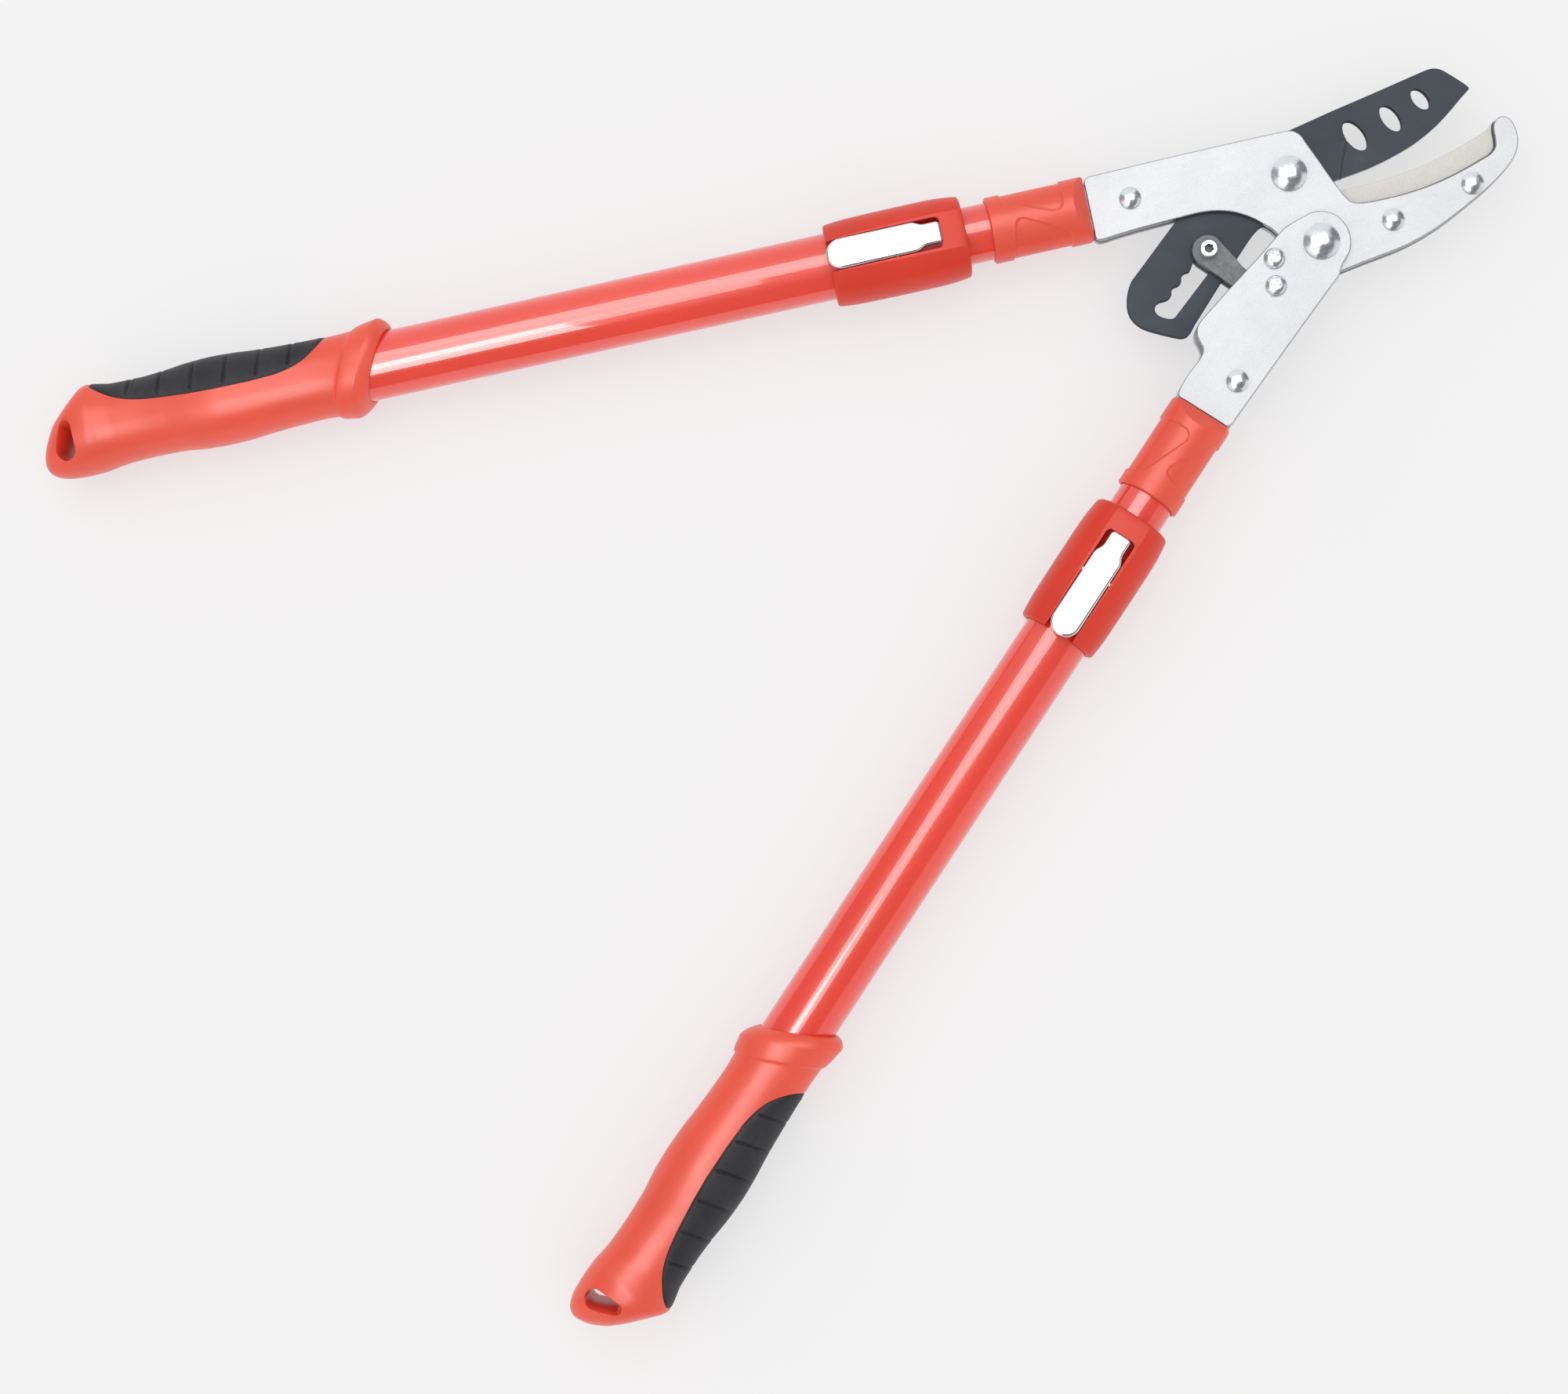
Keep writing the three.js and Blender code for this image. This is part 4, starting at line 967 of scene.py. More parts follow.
RIVETS = [  # node, place in its frame, shank radius, head radius, head height, face, frame and body
    ("anvil_rivet_inner", ANVIL_RIVETS[0], RIVET_SHANK, 4.8, 2.6, PLATE_OUT, ON_HEAD),
    ("anvil_rivet_outer", ANVIL_RIVETS[1], RIVET_SHANK, 4.8, 2.6, PLATE_OUT, ON_HEAD),
    ("upper_tang_rivet", TANG_RIVET_FIXED, RIVET_SHANK, 4.8, 2.7, PLATE_OUT, ON_HEAD),
    ("blade_pivot_rivet", (0, 0), PIVOT_SHANK, 7.8, 3.9, PLATE_OUT, ON_HEAD),
    ("arm_pivot_rivet", ARM_PIVOT, PIVOT_SHANK, 7.9, 3.9, ARM_OUT, ON_HEAD),
    ("lower_tang_rivet", TANG_RIVET_MOVING, RIVET_SHANK, 4.9, 2.7, ARM_OUT, ON_ARM),
]
for label, at, shank, head, height, face, place in RIVETS:
    put(rivet(label + "_fine", at, shank, head, height, face + RIVET_GAP),
        place, BRIGHT, M_BRIGHT, angle=50)


def bush(name, at, radius, bore, chamfer=0.2):
    low, high = -BUSH_HALF, BUSH_HALF
    return turned(name, [
        (bore, low + chamfer), (bore + chamfer, low), (radius - chamfer, low),
        (radius, low + chamfer), (radius, high - chamfer), (radius - chamfer, high),
        (bore + chamfer, high), (bore, high - chamfer)], at=(*at, 0), seg=72)


put(bush("blade_pivot_bush_fine", (0, 0), radius=6.4, bore=4.65), ON_HEAD, "pawl_link", M_STEEL)
put(bush("arm_pivot_spacer_fine", ARM_PIVOT, radius=8.0, bore=4.65), ON_HEAD, BRIGHT, M_STEEL)


# ------------------------------------------------------------------ blade
# the cutting half is thinner: a low step from the back to the heel, with a groove on the front
STEP_LINE = [
    (31.0, 30.0), (34.6, 21.0), (33.2, 17.0), (28.0, 8.7), (24.6, 1.2), (21.6, -7.4), (19.0, -16)]
STEP_AREA = STEP_LINE + [(110, -16), (110, 60), (31, 60)]
STEP_DEPTH = 0.26
GROOVE_LINE = [(31.5, 14.0), *STEP_LINE[3:]]
GROOVE_HALF, GROOVE_DEPTH = 0.42, 0.75


def grind_weight(points):
    """Weight 1 along the cutting edge, running out over a few millimetres at both ends."""
    weight = (line_distance(points[:, 0], points[:, 1], CUT_EDGE) < 0.45).astype(float)
    for end, run_out in ((CUT_EDGE[0], 1.6), (CUT_EDGE[-1], 1.0)):
        weight *= ease(np.linalg.norm(points - np.array(end), axis=1) / run_out)
    return weight


def eased_line(points, step):
    """Evenly stepped points along an open run of straight spans, corners eased."""
    corners = np.array(points, float)
    run = np.concatenate([[0], np.cumsum(np.linalg.norm(np.diff(corners, axis=0), axis=1))])
    places = np.linspace(0, run[-1], max(4, int(run[-1] / step)))
    line = np.column_stack([np.interp(places, run, corners[:, k]) for k in (0, 1)])
    for _ in range(3):
        line[1:-1] = 0.25 * line[:-2] + 0.5 * line[1:-1] + 0.25 * line[2:]
    return line


def groove_cutter():
    line = eased_line(GROOVE_LINE, 1.0)
    tangent = np.gradient(line, axis=0)
    tangent /= np.linalg.norm(tangent, axis=1)[:, None]
    side = np.column_stack([-tangent[:, 1], tangent[:, 0]]) * GROOVE_HALF
    return prism("groove", [*(line + side), *(line - side)[::-1]], BLADE_T - GROOVE_DEPTH, 4.0)


def blade():
    holes = [circle((0, 0), 6.6, 64), smooth(RATCHET_SLOT, 0.4, straight=9.0, hold=1.2)]
    body = plate("blade_fine", smooth(BLADE_OUTLINE, 0.8, straight=14.0),
                 holes + [oval(*hole) for hole in TIP_HOLES],
                 -BLADE_T, BLADE_T, top=0.35, bottom=0.35, grind=grind_weight)
    for sign in (1, -1):
        z0, z1 = sorted((sign * (BLADE_T - STEP_DEPTH), sign * 4))
        boolean(body, square_plate(smooth(STEP_AREA, 1.5, straight=20), z0, z1))
    boolean(body, groove_cutter())
    for face in body.data.polygons:
        upright = abs(face.normal[2])
        near = line_distance(face.center[0], face.center[1], CUT_EDGE)
        if near < GRIND_WIDTH + 0.1 and 0.12 < upright < 0.985:
            face.material_index = 2
        else:
            face.material_index = int(upright < 0.5)
    put(body, ON_BLADE, "blade", M_BLADE, M_BLADE_EDGE, M_GROUND, M_BLADE_EDGE, angle=28)


blade()


# ------------------------------------------------------------------ pawl
PIN_R = 2.5
NUT_FLATS, NUT_BORE = 7.9, 2.55
PIN_PROFILE = [  # radius, z: shank, then the head on the front
    (0, -7.9), (2.2, -7.9), (PIN_R, -7.55), (PIN_R, 4.45), (3.75, 4.45), (3.9, 4.6), (3.9, 7.75),
    (3.82, 8.0), (3.6, 8.22), (3.3, 8.3), (2.75, 8.3), (PIN_R, 8.2), (2.42, 8.0), (0, 8.0),
]

plate_pair(
    ("pawl_link_front_fine", "pawl_link_rear_fine"), smooth(LINK_OUTLINE, 0.5, 9.0, 2.0),
    [circle((0, 0), 2.8, 32), circle((LINK_LEN, 0), SCREW_HOLE, 32)],
    heights=(PLATE_IN, LINK_OUT), front_roll=0.35, rear_roll=0.35,
    place=ON_PAWL, slot="pawl_link", mats=[M_LINK_AND_PAINTED_SHADE] * 4)


def hexagon(name, flats, z0, z1, at, degrees):
    return prism(name, [
        arc(at, flats / math.sqrt(3), degrees + 60 * i, degrees + 60 * i, 1)[0]
        for i in range(6)], z0, z1)


def nut(name, at, z0, z1, degrees):
    """Hex nut with both faces chamfered to a circle."""
    corner, flat, chamfer = NUT_FLATS / math.sqrt(3) + 0.05, NUT_FLATS / 2 - 0.05, 0.45 * 1.3
    body = hexagon(name, NUT_FLATS, z0, z1, at, degrees)
    boolean(body, turned("cut", [
        (0, z0), (flat, z0), (corner, z0 + chamfer), (corner, z1 - chamfer), (flat, z1), (0, z1)],
        at=(*at, 0), seg=72), "INTERSECT")
    mouth = NUT_BORE + 1.3
    return boolean(body, turned("cut", [
        (0, z0 - 1), (mouth, z0 - 1), (NUT_BORE, z0 + 0.35), (NUT_BORE, z1 - 0.35),
        (mouth, z1 + 1), (0, z1 + 1)], at=(*at, 0), seg=48))


def pawl_pin():
    """Headed pin with a hexagonal socket, painted dark as the shade inside it."""
    pin = turned("pawl_pin_fine", PIN_PROFILE, at=(LINK_LEN, 0, 0), seg=96)
    boolean(pin, hexagon("socket", 4.0, 5.2, 9.5, (LINK_LEN, 0), 12))
    # socket walls and floor take the dark phosphate: painted shade in the recess
    for face in pin.data.polygons:
        x, y, z = face.center
        face.material_index = int(math.hypot(x - LINK_LEN, y) < 2.28 and 5.0 < z < 7.9)
    put(pin, ON_PAWL, BRIGHT, M_BRIGHT, M_LINK_AND_PAINTED_SHADE, angle=38)


pawl_pin()
put(nut("pawl_pin_nut_fine", (LINK_LEN, 0), -7.4, -4.45, 9), ON_PAWL, BRIGHT, M_BRIGHT)
put(bush("pawl_bush_fine", (0, 0), radius=3.8, bore=SCREW_HOLE), ON_PAWL, BRIGHT, M_STEEL)


# ------------------------------------------------------------------ moving arm
plate_pair(
    ("lower_front_plate_fine", "lower_rear_plate_fine"), smooth(ARM_OUTLINE, 0.8),
    [circle((0, 0), PIVOT_HOLE), circle(PAWL_PIVOT, SCREW_HOLE, 32),
     circle(STOP_POINT, SCREW_HOLE, 32), circle(TANG_RIVET_MOVING, RIVET_HOLE, 32)],
    heights=(ARM_IN, ARM_OUT), front_roll=0.62, rear_roll=0.42, seg=6,
    place=ON_ARM, slot="head_plate", mats=PLATE_MATS)

SCREW_PROFILE = [  # radius, z: shank, then the pan head
    (0, -11.4), (2.2, -11.4), (2.5, -11.1), (2.5, 7.14), (4.55, 7.14), (4.7, 7.3), (4.7, 7.75),
    (4.62, 8.15), (4.42, 8.6), (4.1, 9.0), (3.65, 9.36), (3.1, 9.66), (2.4, 9.87), (1.6, 9.99),
    (0.8, 10.04), (0, 10.05),
]
CROSS_RINGS = [(10.8, 2.75, 0.62), (9.6, 2.5, 0.52), (7.9, 1.25, 0.34)]  # z, half length, width
CROSS_WELL = [(0, 7.6), (0.5, 7.75), (1.15, 9.0), (1.55, 10.6), (0, 10.6)]  # radius, z


def pan_screw(name, at, degrees):
    """Pan head screw with a tapered cross recess and its shank."""
    screw = turned(name, SCREW_PROFILE, at=(*at, 0), seg=96)
    for k in range(2):
        angle = math.radians(degrees) + k * math.pi / 2
        cos, sin = math.cos(angle), math.sin(angle)
        rings = []
        for z, half_length, half_width in CROSS_RINGS:
            box = rounded_box(-half_length, half_length, half_width, half_width * 0.5, 3)
            rings.append([(at[0] + x * cos - y * sin, at[1] + x * sin + y * cos, z)
                          for x, y in box])
        boolean(screw, loft("cut", rings))
    return boolean(screw, turned("cut", CROSS_WELL, at=(*at, 0), seg=32))


for part, at, degrees in (("pivot", PAWL_PIVOT, 28), ("stop", STOP_POINT, 62)):
    put(pan_screw(f"pawl_{part}_screw_fine", at, degrees), ON_ARM, BRIGHT, M_BRIGHT, angle=38)
for part, at, degrees in (("pivot", PAWL_PIVOT, 5), ("stop", STOP_POINT, 21)):
    put(nut(f"pawl_{part}_nut_fine", at, -10.9, -7.15, degrees), ON_ARM, BRIGHT, M_BRIGHT)


def pawl_spring(radius=4.75, turns=2.1, half_height=1.15, steps=140, lead_steps=24):
    """Flat coil round the pawl pivot with one long lead."""
    coil = []
    for i in range(steps + 1):
        angle = math.radians(-50) - 2 * math.pi * turns * i / steps
        coil.append((PAWL_PIVOT[0] + radius * math.cos(angle),
                     PAWL_PIVOT[1] + radius * math.sin(angle),
                     -half_height + 2 * half_height * i / steps))
    lead = []
    for i in range(lead_steps):
        far = 1 - i / lead_steps
        lead.append((coil[0][0] + 9.2 * far * (0.75 + 0.25 * far), coil[0][1] + 7.6 * far,
                     -half_height))
    put(wire("pawl_spring_fine", lead + coil, 0.42, 14), ON_ARM, "spring_wire", M_WIRE)


pawl_spring()


# ------------------------------------------------------------------ handles: collar and tubes
# Handle frame: x = 0 at the collar mouth and negative towards the grip; pad_side = +1 or -1 is
# the side in y of the soft pad.
COLLAR_R, COLLAR_BORE, COLLAR_TAIL = 14.85, 13.02, -44.0
PANEL_DEPTH = 0.75
PANELS = [  # sunk panels on the +y and -y sides, rows of (x, y)
    [(-38.2, 16), (-37.7, 10.1), (-36.6, 8.3), (-35.0, 7.2), (-26, 3.3), (-17.2, -0.35),
     (-15.4, -0.65), (-13.6, -0.35), (-12.2, 0.7), (-11.5, 2.2), (-11.2, 6.7), (-10.6, 16),
     (-10.6, 40), (-38.2, 40)],
    [(-36.5, -16), (-35.2, -10), (-33.9, -3.6), (-33.4, -2.2), (-32.4, -1.2), (-31.2, -0.75),
     (-29.8, -0.95), (-28.5, -1.6), (-19, -6.3), (-10.6, -10.6), (-9.9, -11.6), (-9.7, -13),
     (-9.7, -16), (-9.7, -40), (-36.5, -40)],
]


def collar(name, plate_out, tang_half, tang_width):
    """Moulded collar: two sunk panels with a slanting band between, mouth cut back to the plates."""
    angles = np.arange(200) * 2 * math.pi / 200
    cos, sin = np.cos(angles), np.sin(angles)
    # inside, from the end wall back to the lip at the tail
    rings = [[(x, bore * c, bore * s) for c, s in zip(cos, sin)] for x, bore in (
        (-7.6, COLLAR_BORE), (COLLAR_TAIL, COLLAR_BORE), (-44.55, 13.1), (-44.8, 13.35))]
    for x in np.concatenate([
            np.linspace(-44.8, -44.0, 5), np.linspace(-43.7, -0.9, 118), np.linspace(-0.7, 0, 5)]):
        y = COLLAR_R * cos
        along = np.full(len(angles), x)
        depth = np.maximum(*(depth_inside(along, y, panel) for panel in PANELS))
        radius = COLLAR_R - PANEL_DEPTH * ease(depth / 0.55 + 0.5)
        # soft lip just outside each panel
        radius = radius + 0.05 * np.exp(-((depth + 0.55) / 0.35) ** 2)
        # rounded tail and mouth
        radius = radius - 0.8 * ease((COLLAR_TAIL - x) / 0.8) ** 2
        if x > -1.7:
            radius = radius - 0.85 * (1 - math.sqrt(max(0.0, 1 - ((x + 1.7) / 1.7) ** 2)))
        # scooped faces that lead down to the plates, joined by a soft minimum
        scoop = (plate_out + 0.15) + (-x / 6.5) * (14.4 - plate_out - 0.15)
        if scoop < 16:
            limit = scoop / np.maximum(np.abs(sin), 1e-3)
            soft = 0.25
            share = np.clip(0.5 + 0.5 * (limit - radius) / soft, 0, 1)
            radius = limit * (1 - share) + radius * share - soft * share * (1 - share)
        rings.append([(x, r * c, r * s) for r, c, s in zip(radius, cos, sin)])
    tang_hole = rounded_box(-9, 3, tang_width + 0.3, 1.0, 4)
    return boolean(loft(name, rings), square_plate(tang_hole, -tang_half - 0.2, tang_half + 0.2))


def tube(name, radius, bore, head, tail, chamfer, stations, seg):
    """Tube along x with chamfered ends."""
    middle = [(radius, x) for x in np.linspace(head - 1, tail + 1, stations)]
    return turned(name, [
        (bore + chamfer, head), (radius - chamfer, head), (radius, head - chamfer), *middle,
        (radius, tail + chamfer), (radius - chamfer, tail), (bore + chamfer, tail),
        (bore, tail + chamfer), (bore, head - chamfer)], "X", seg=seg)


def peg_hole(radius, top, x=PEG_X):
    return turned("cut", [(0, 8), (radius, 8), (radius, top), (0, top)], at=(x, 0, 0), seg=40)


def inner_tube(name):
    """Inner tube with a row of peg holes."""
    verts, faces = [], []
    for k in range(PEG_HOLES):
        hole_verts, hole_faces = take_mesh(peg_hole(3.4, 16, PEG_X - PEG_PITCH * k))
        faces.extend(tuple(len(verts) + i for i in face) for face in hole_faces)
        verts.extend(hole_verts)
    body = tube(name, INNER_R, INNER_BORE, INNER_HEAD, INNER_TAIL,
                chamfer=0.15, stations=169, seg=96)
    return boolean(body, make_object("cut", verts, faces))


def outer_tube(name):
    body = tube(name, OUTER_R, OUTER_BORE, OUTER_HEAD, OUTER_TAIL,
                chamfer=0.2, stations=163, seg=112)
    return boolean(body, peg_hole(3.5, 18))


GLIDE_PROFILE = [  # radius, x
    (9.5, -434.8), (9.7, -435), (12.9, -435), (13.25, -434.8), (13.55, -434.4), (13.55, -430.3),
    (11.45, -430.3), (11.35, -416.3), (11.1, -416), (9.7, -416), (9.5, -416.2),
]


# ------------------------------------------------------------------ handles: sleeve and tab
SLEEVE_KEYS = [  # x, half width, half height, half width of the flat top
    (-117.9, 16.9, 16.6, 7.05), (-117.6, 17.7, 17.3, 7.1), (-116.9, 18.15, 17.8, 7.2),
    (-114, 18.55, 18.4, 7.4), (-108, 18.95, 19.1, 7.6), (-98, 19.1, 19.45, 7.9),
    (-86, 19.15, 19.5, 8.2), (-74, 19.15, 19.5, 8.4), (-67.5, 19.0, 19.45, 8.5),
    (-62, 18.55, 18.9, 8.4), (-58.2, 18.1, 18.2, 8.2), (-57.2, 17.9, 17.9, 8.1),
    (-56.6, 17.55, 17.6, 8.0), (-56.2, 16.9, 17.0, 7.8),
]
SLEEVE_BORE = [  # radius, x
    (0, -119), (15.9, -119), (15.2, -117.4), (15.2, -59.6), (13.2, -59.6), (13.2, -56.9),
    (13.9, -55.0), (0, -55.0),
]
SLEEVE_CROWN = 0.22


def sleeve_section(x, half_width, half_height, crease, count=26):
    """Closed section: crowned flat, soft crease, full round side; the same below."""
    flat = []
    for i in range(9):
        off = 1 - i / 8
        flat.append((crease * off, half_height - SLEEVE_CROWN * off**2))
    z0 = half_height - SLEEVE_CROWN
    # cubic curve from the crease to the side
    reach = 0.5 * (half_width - crease)
    control = (crease + reach, z0 - math.tan(math.radians(31)) * reach)
    side = []
    for i in range(1, count + 1):
        t = i / count
        start, first, second, end = (1 - t) ** 3, 3 * (1 - t) ** 2 * t, 3 * (1 - t) * t * t, t**3
        side.append((
            start * crease + first * control[0] + second * half_width + end * half_width,
            start * z0 + first * control[1] + second * z0 * 0.56))
    quarter = flat[::-1] + side
    right = quarter[:-1] + [(y, -z) for y, z in reversed(quarter)]
    left = [(-y, z) for y, z in reversed(right[1:-1])]
    return [(x, y, z) for y, z in right + left]


def cross_rod(radius, half):
    """Cutter along y through the tab pivot."""
    return [(0, -half), (radius, -half), (radius, half), (0, half)]


TAB_AT = (TAB_PIVOT[0], 0, TAB_PIVOT[1])


def lock_sleeve(name):
    places = np.concatenate([
        [-117.9, -117.75, -117.55, -117.25, -116.9], np.linspace(-116.2, -57.4, 74),
        [-57.0, -56.75, -56.5, -56.3, -56.2]])
    sections = zip(places, *monotone(SLEEVE_KEYS, places))
    sleeve = loft(name, [sleeve_section(*section) for section in sections])
    boolean(sleeve, turned("cut", SLEEVE_BORE, "X", seg=112))
    boolean(sleeve, square_plate(rounded_box(-122, -67.0, 7.1, [0, 2.2, 2.2, 0], 8), 10, 30))
    return boolean(sleeve, turned("cut", cross_rod(1.22, 9.6), "Y", TAB_AT, 32))


TAB_HALF = 6.75
TAB_TOP, TAB_SHEET, TAB_ROLL = 20.3, 0.75, 1.15  # z of the crown, thickness, rim radius
TAB_END = -67.15
TAB_NECK = [  # -y flank from the body to the head end, rows of (x, y)
    (-79.4, -TAB_HALF), (-77.9, -6.35), (-75.6, -5.2), (-74.2, -4.9), (TAB_END, -4.9)]
TAB_FLANGE = [  # side view, rows of (x, z)
    (-110, 19.2), (-110, 18.0), (-95, 17.5), (-91.0, 14.95), (-85.0, 14.95), (-82.4, 17.5),
    (-80, 18.0), (-80, 19.2),
]


def tab_rim():
    """Top view of the tab, evenly resampled so the rolled rim is smooth."""
    outline = arc((-112.0, 0), TAB_HALF, 90, 270, 24) + TAB_NECK
    outline += [(x, -y) for x, y in reversed(TAB_NECK)]
    radii = [1.75 if abs(x - TAB_END) < 0.01 else 0.5 for x, _ in outline]
    loop = ccw(rounded(outline, radii))
    loop = np.array(loop + [loop[0]], float)
    run = np.concatenate([[0], np.cumsum(np.linalg.norm(np.diff(loop, axis=0), axis=1))])
    places = np.linspace(0, run[-1], 360, endpoint=False)
    return np.column_stack([np.interp(places, run, loop[:, k]) for k in (0, 1)])


def lock_tab(name):
    """Chromed sheet tab, its rim rolled down, with two flanges that carry the cross pin."""
    rim = tab_rim()
    normals = inset_normals(rim)
    skirt = TAB_TOP - TAB_ROLL
    # (inset, z): outer skin with a quarter roll, short skirt, then the inner skin back up
    profile = [(TAB_ROLL + 0.4, TAB_TOP), (TAB_ROLL + 0.2, TAB_TOP)]
    for k in range(9):
        angle = math.pi / 2 * k / 8
        profile.append((TAB_ROLL * (1 - math.sin(angle)),
                        TAB_TOP - TAB_ROLL * (1 - math.cos(angle))))
    profile += [(0.0, skirt - 0.35), (0.12, skirt - 0.47),
                (TAB_SHEET - 0.12, skirt - 0.47), (TAB_SHEET, skirt - 0.35)]
    inner_roll = TAB_ROLL - TAB_SHEET
    for k in range(6):
        angle = math.pi / 2 * (1 - k / 5)
        profile.append((TAB_ROLL - inner_roll * math.sin(angle),
                        skirt + inner_roll * math.cos(angle)))
    profile.append((TAB_ROLL + 0.4, TAB_TOP - TAB_SHEET))
    count = len(rim)
    verts, faces = [], []
    for inset, z in profile:
        verts.extend(np.column_stack([rim + normals * inset, np.full(count, z)]).tolist())
    rows = [k * count for k in range(len(profile))]
    for upper, lower in zip(rows, rows[1:]):
        faces += band_faces(upper, lower, count)
    faces += cap_faces(verts, [(rows[0], count)], False)
    faces += cap_faces(verts, [(rows[-1], count)], True)
    sheet = make_object(name, verts, faces)
    outline = rounded(TAB_FLANGE, 1.0, 5)
    for y0, y1 in ((5.35, 6.05), (-6.05, -5.35)):
        flat = plate("flange", outline, [], y0, y1, top=0.12, bottom=0.12, seg=2)
        flange_verts, flange_faces = take_mesh(flat)
        boolean(sheet, make_object("flange", flange_verts[:, [0, 2, 1]], flange_faces), "UNION")
    return boolean(sheet, turned("cut", cross_rod(1.45, 9), "Y", TAB_AT, 24))


def tab_spring(name, radius=1.53, turns=4, half=2.6, steps=160):
    """Small coil round the tab's cross pin."""
    points = []
    for i in range(steps + 1):
        angle = -math.pi * 2 * turns * i / steps
        points.append((TAB_PIVOT[0] + radius * math.sin(angle), -half + 2 * half * i / steps,
                       TAB_PIVOT[1] - radius * math.cos(angle)))
    return wire(name, points, 0.19, 10)


TAB_PIN_PROFILE = [  # radius, y
    (0, -9.4), (0.9, -9.35), (1.15, -9.1), (1.15, 9.1), (0.9, 9.35), (0, 9.4)]
PEG_PROFILE = [  # radius, z
    (0, 13.2), (2.2, 13.2), (2.6, 13.35), (2.9, 13.8), (2.9, 18.7), (2.7, 18.9), (0, 18.9)]


# ------------------------------------------------------------------ handles: grip and pad
GRIP_RINGS = [  # x, slant, half width on the pad side, half width opposite, half height
    (-327.0, 0.475, 15.7, 15.7, 15.7), (-327.3, 0.475, 16.5, 16.5, 16.2),
    (-332.0, 0.47, 20.55, 20.6, 19.3), (-333.0, 0.47, 20.9, 20.8, 19.5),
    (-334.2, 0.465, 20.7, 20.6, 19.45), (-341.2, 0.43, 19.1, 19.4, 18.8),
    (-341.8, 0.42, 18.7, 19.0, 18.4), (-342.3, 0.42, 18.1, 18.5, 17.9),
    (-344.0, 0.40, 17.8, 18.2, 17.6), (-354.0, 0.26, 17.5, 17.9, 17.3),
    (-368.0, 0.1, 17.9, 18.2, 17.7), (-382.0, 0, 18.7, 18.9, 18.4),
    (-392.0, 0, 19.6, 19.7, 19.1), (-402.0, 0, 20.0, 20.0, 19.5),
    (-413.0, 0, 19.6, 19.6, 19.0), (-425.0, 0, 18.4, 18.3, 18.0),
    (-437.0, 0, 17.8, 18.0, 17.6), (-449.0, 0, 18.0, 18.3, 17.8),
    (-456.0, 0, 19.2, 19.0, 18.7), (-461.0, 0.03, 20.0, 19.9, 19.5),
    (-466.0, 0.15, 19.0, 20.3, 19.2), (-471.0, 0.3, 16.4, 20.0, 17.8),
    (-475.5, 0.42, 12.6, 18.4, 15.2), (-479.2, 0.5, 8.0, 14.8, 11.4),
    (-481.6, 0.55, 3.6, 9.4, 6.4),
]
FLANGE_END, BODY_END = -344.0, -456.0  # x where the ring spacing of the grip changes
PAD_BOUNDARY = [  # x, y
    (-346.8, 26), (-347.6, 19), (-349.4, 14.6), (-353, 10.4), (-358, 6.6), (-364, 4.1),
    (-372, 2.4), (-385, 1.7), (-400, 1.6), (-412, 2.2), (-424, 3.4), (-434, 4.8),
    (-441, 6.5), (-447, 9), (-453, 12.8), (-458, 17), (-460.6, 20.5), (-461.5, 26),
]
PAD_GROOVES = (-352.0, -366.0, -380.5, -395.5, -411.0, -427.0, -442.0)  # x
PAD_CLEARANCE = 0.14


def pad_lift(x, y):
    """Height of the pad's skin over the grip: edge roll at the seam, crown, grooves with lips."""
    inside = depth_inside(x, y, PAD_BOUNDARY + [(-461.5, 60), (-346.8, 60)])
    lift = 0.28 * ease(inside / 2.2) - 0.55 * (1 - ease(inside / 0.9))
    lean = 2.4 * np.sin((y - 3.0) / 9.0)
    depth = ease((inside - 1.0) / 1.5) * ease((17.2 - y) / 6.0 + 0.45)
    cut = np.zeros(len(x))
    for groove in PAD_GROOVES:
        off = np.abs(x - (groove + lean))
        cut = np.maximum(cut, depth * np.exp(-(off / 0.62) ** 2))
        lift = lift + depth * 0.21 * np.exp(-((off - 1.7) / 0.8) ** 2)
    return lift - cut


def grip_body(name, pad_side, relief=False, seg=176):
    """Grip skin through the ring table; relief adds the pad's surface."""
    table = np.array(GRIP_RINGS, float)
    change = np.abs(np.diff(table, axis=0))
    run = np.concatenate([[0], np.cumsum(change[:, 0] + 0.35 * np.max(change[:, 2:], axis=1))])
    flange_end = run[int(np.argmax(table[:, 0] <= FLANGE_END))]
    body_end = run[int(np.argmax(table[:, 0] <= BODY_END))]
    places = np.concatenate([
        np.linspace(0, flange_end, 70, endpoint=False),
        np.linspace(flange_end, body_end, 330 if relief else 118, endpoint=False),
        np.linspace(body_end, run[-1], 44)])
    angles = np.arange(seg) * 2 * math.pi / seg
    cos, sin = np.cos(angles), np.sin(angles)
    power = 2 / 2.25  # a little squarer than an ellipse
    rings = []
    stations = zip(*monotone(np.column_stack([run, table]), places))
    for middle, slant, half_pad, half_other, half_height in stations:
        half_width = np.where(cos > 0, half_pad, half_other)
        y = np.sign(cos) * np.abs(cos) ** power * half_width
        z = np.sign(sin) * np.abs(sin) ** power * half_height
        x = middle + slant * y
        if relief:
            grow = 1 + pad_lift(x, y) / np.maximum(np.hypot(y, z), 1)
            y, z = y * grow, z * grow
        rings.append(list(zip(x, y * pad_side, z)))
    # rounded close of the tail
    last = np.array(rings[-1])
    centre = last.mean(0)
    for size, out in ((0.82, 0.45), (0.55, 0.8), (0.25, 0.95)):
        rings.append([tuple(centre + (q - centre) * size + np.array([-out, 0, 0])) for q in last])
    return loft(name, rings)


DROP_LARGE, DROP_SMALL = ((-472.6, -10.6), 4.3), ((-470.6, -0.4), 2.0)  # centre (x, y), radius
DROP_RIM = [(8.5, -0.75), (10.5, -0.1), (14.2, 0.0), (15.2, 0.25), (16.6, 0.75), (19.5, 1.5),
            (30, 4.6)]  # distance from the middle plane, growth of the outline


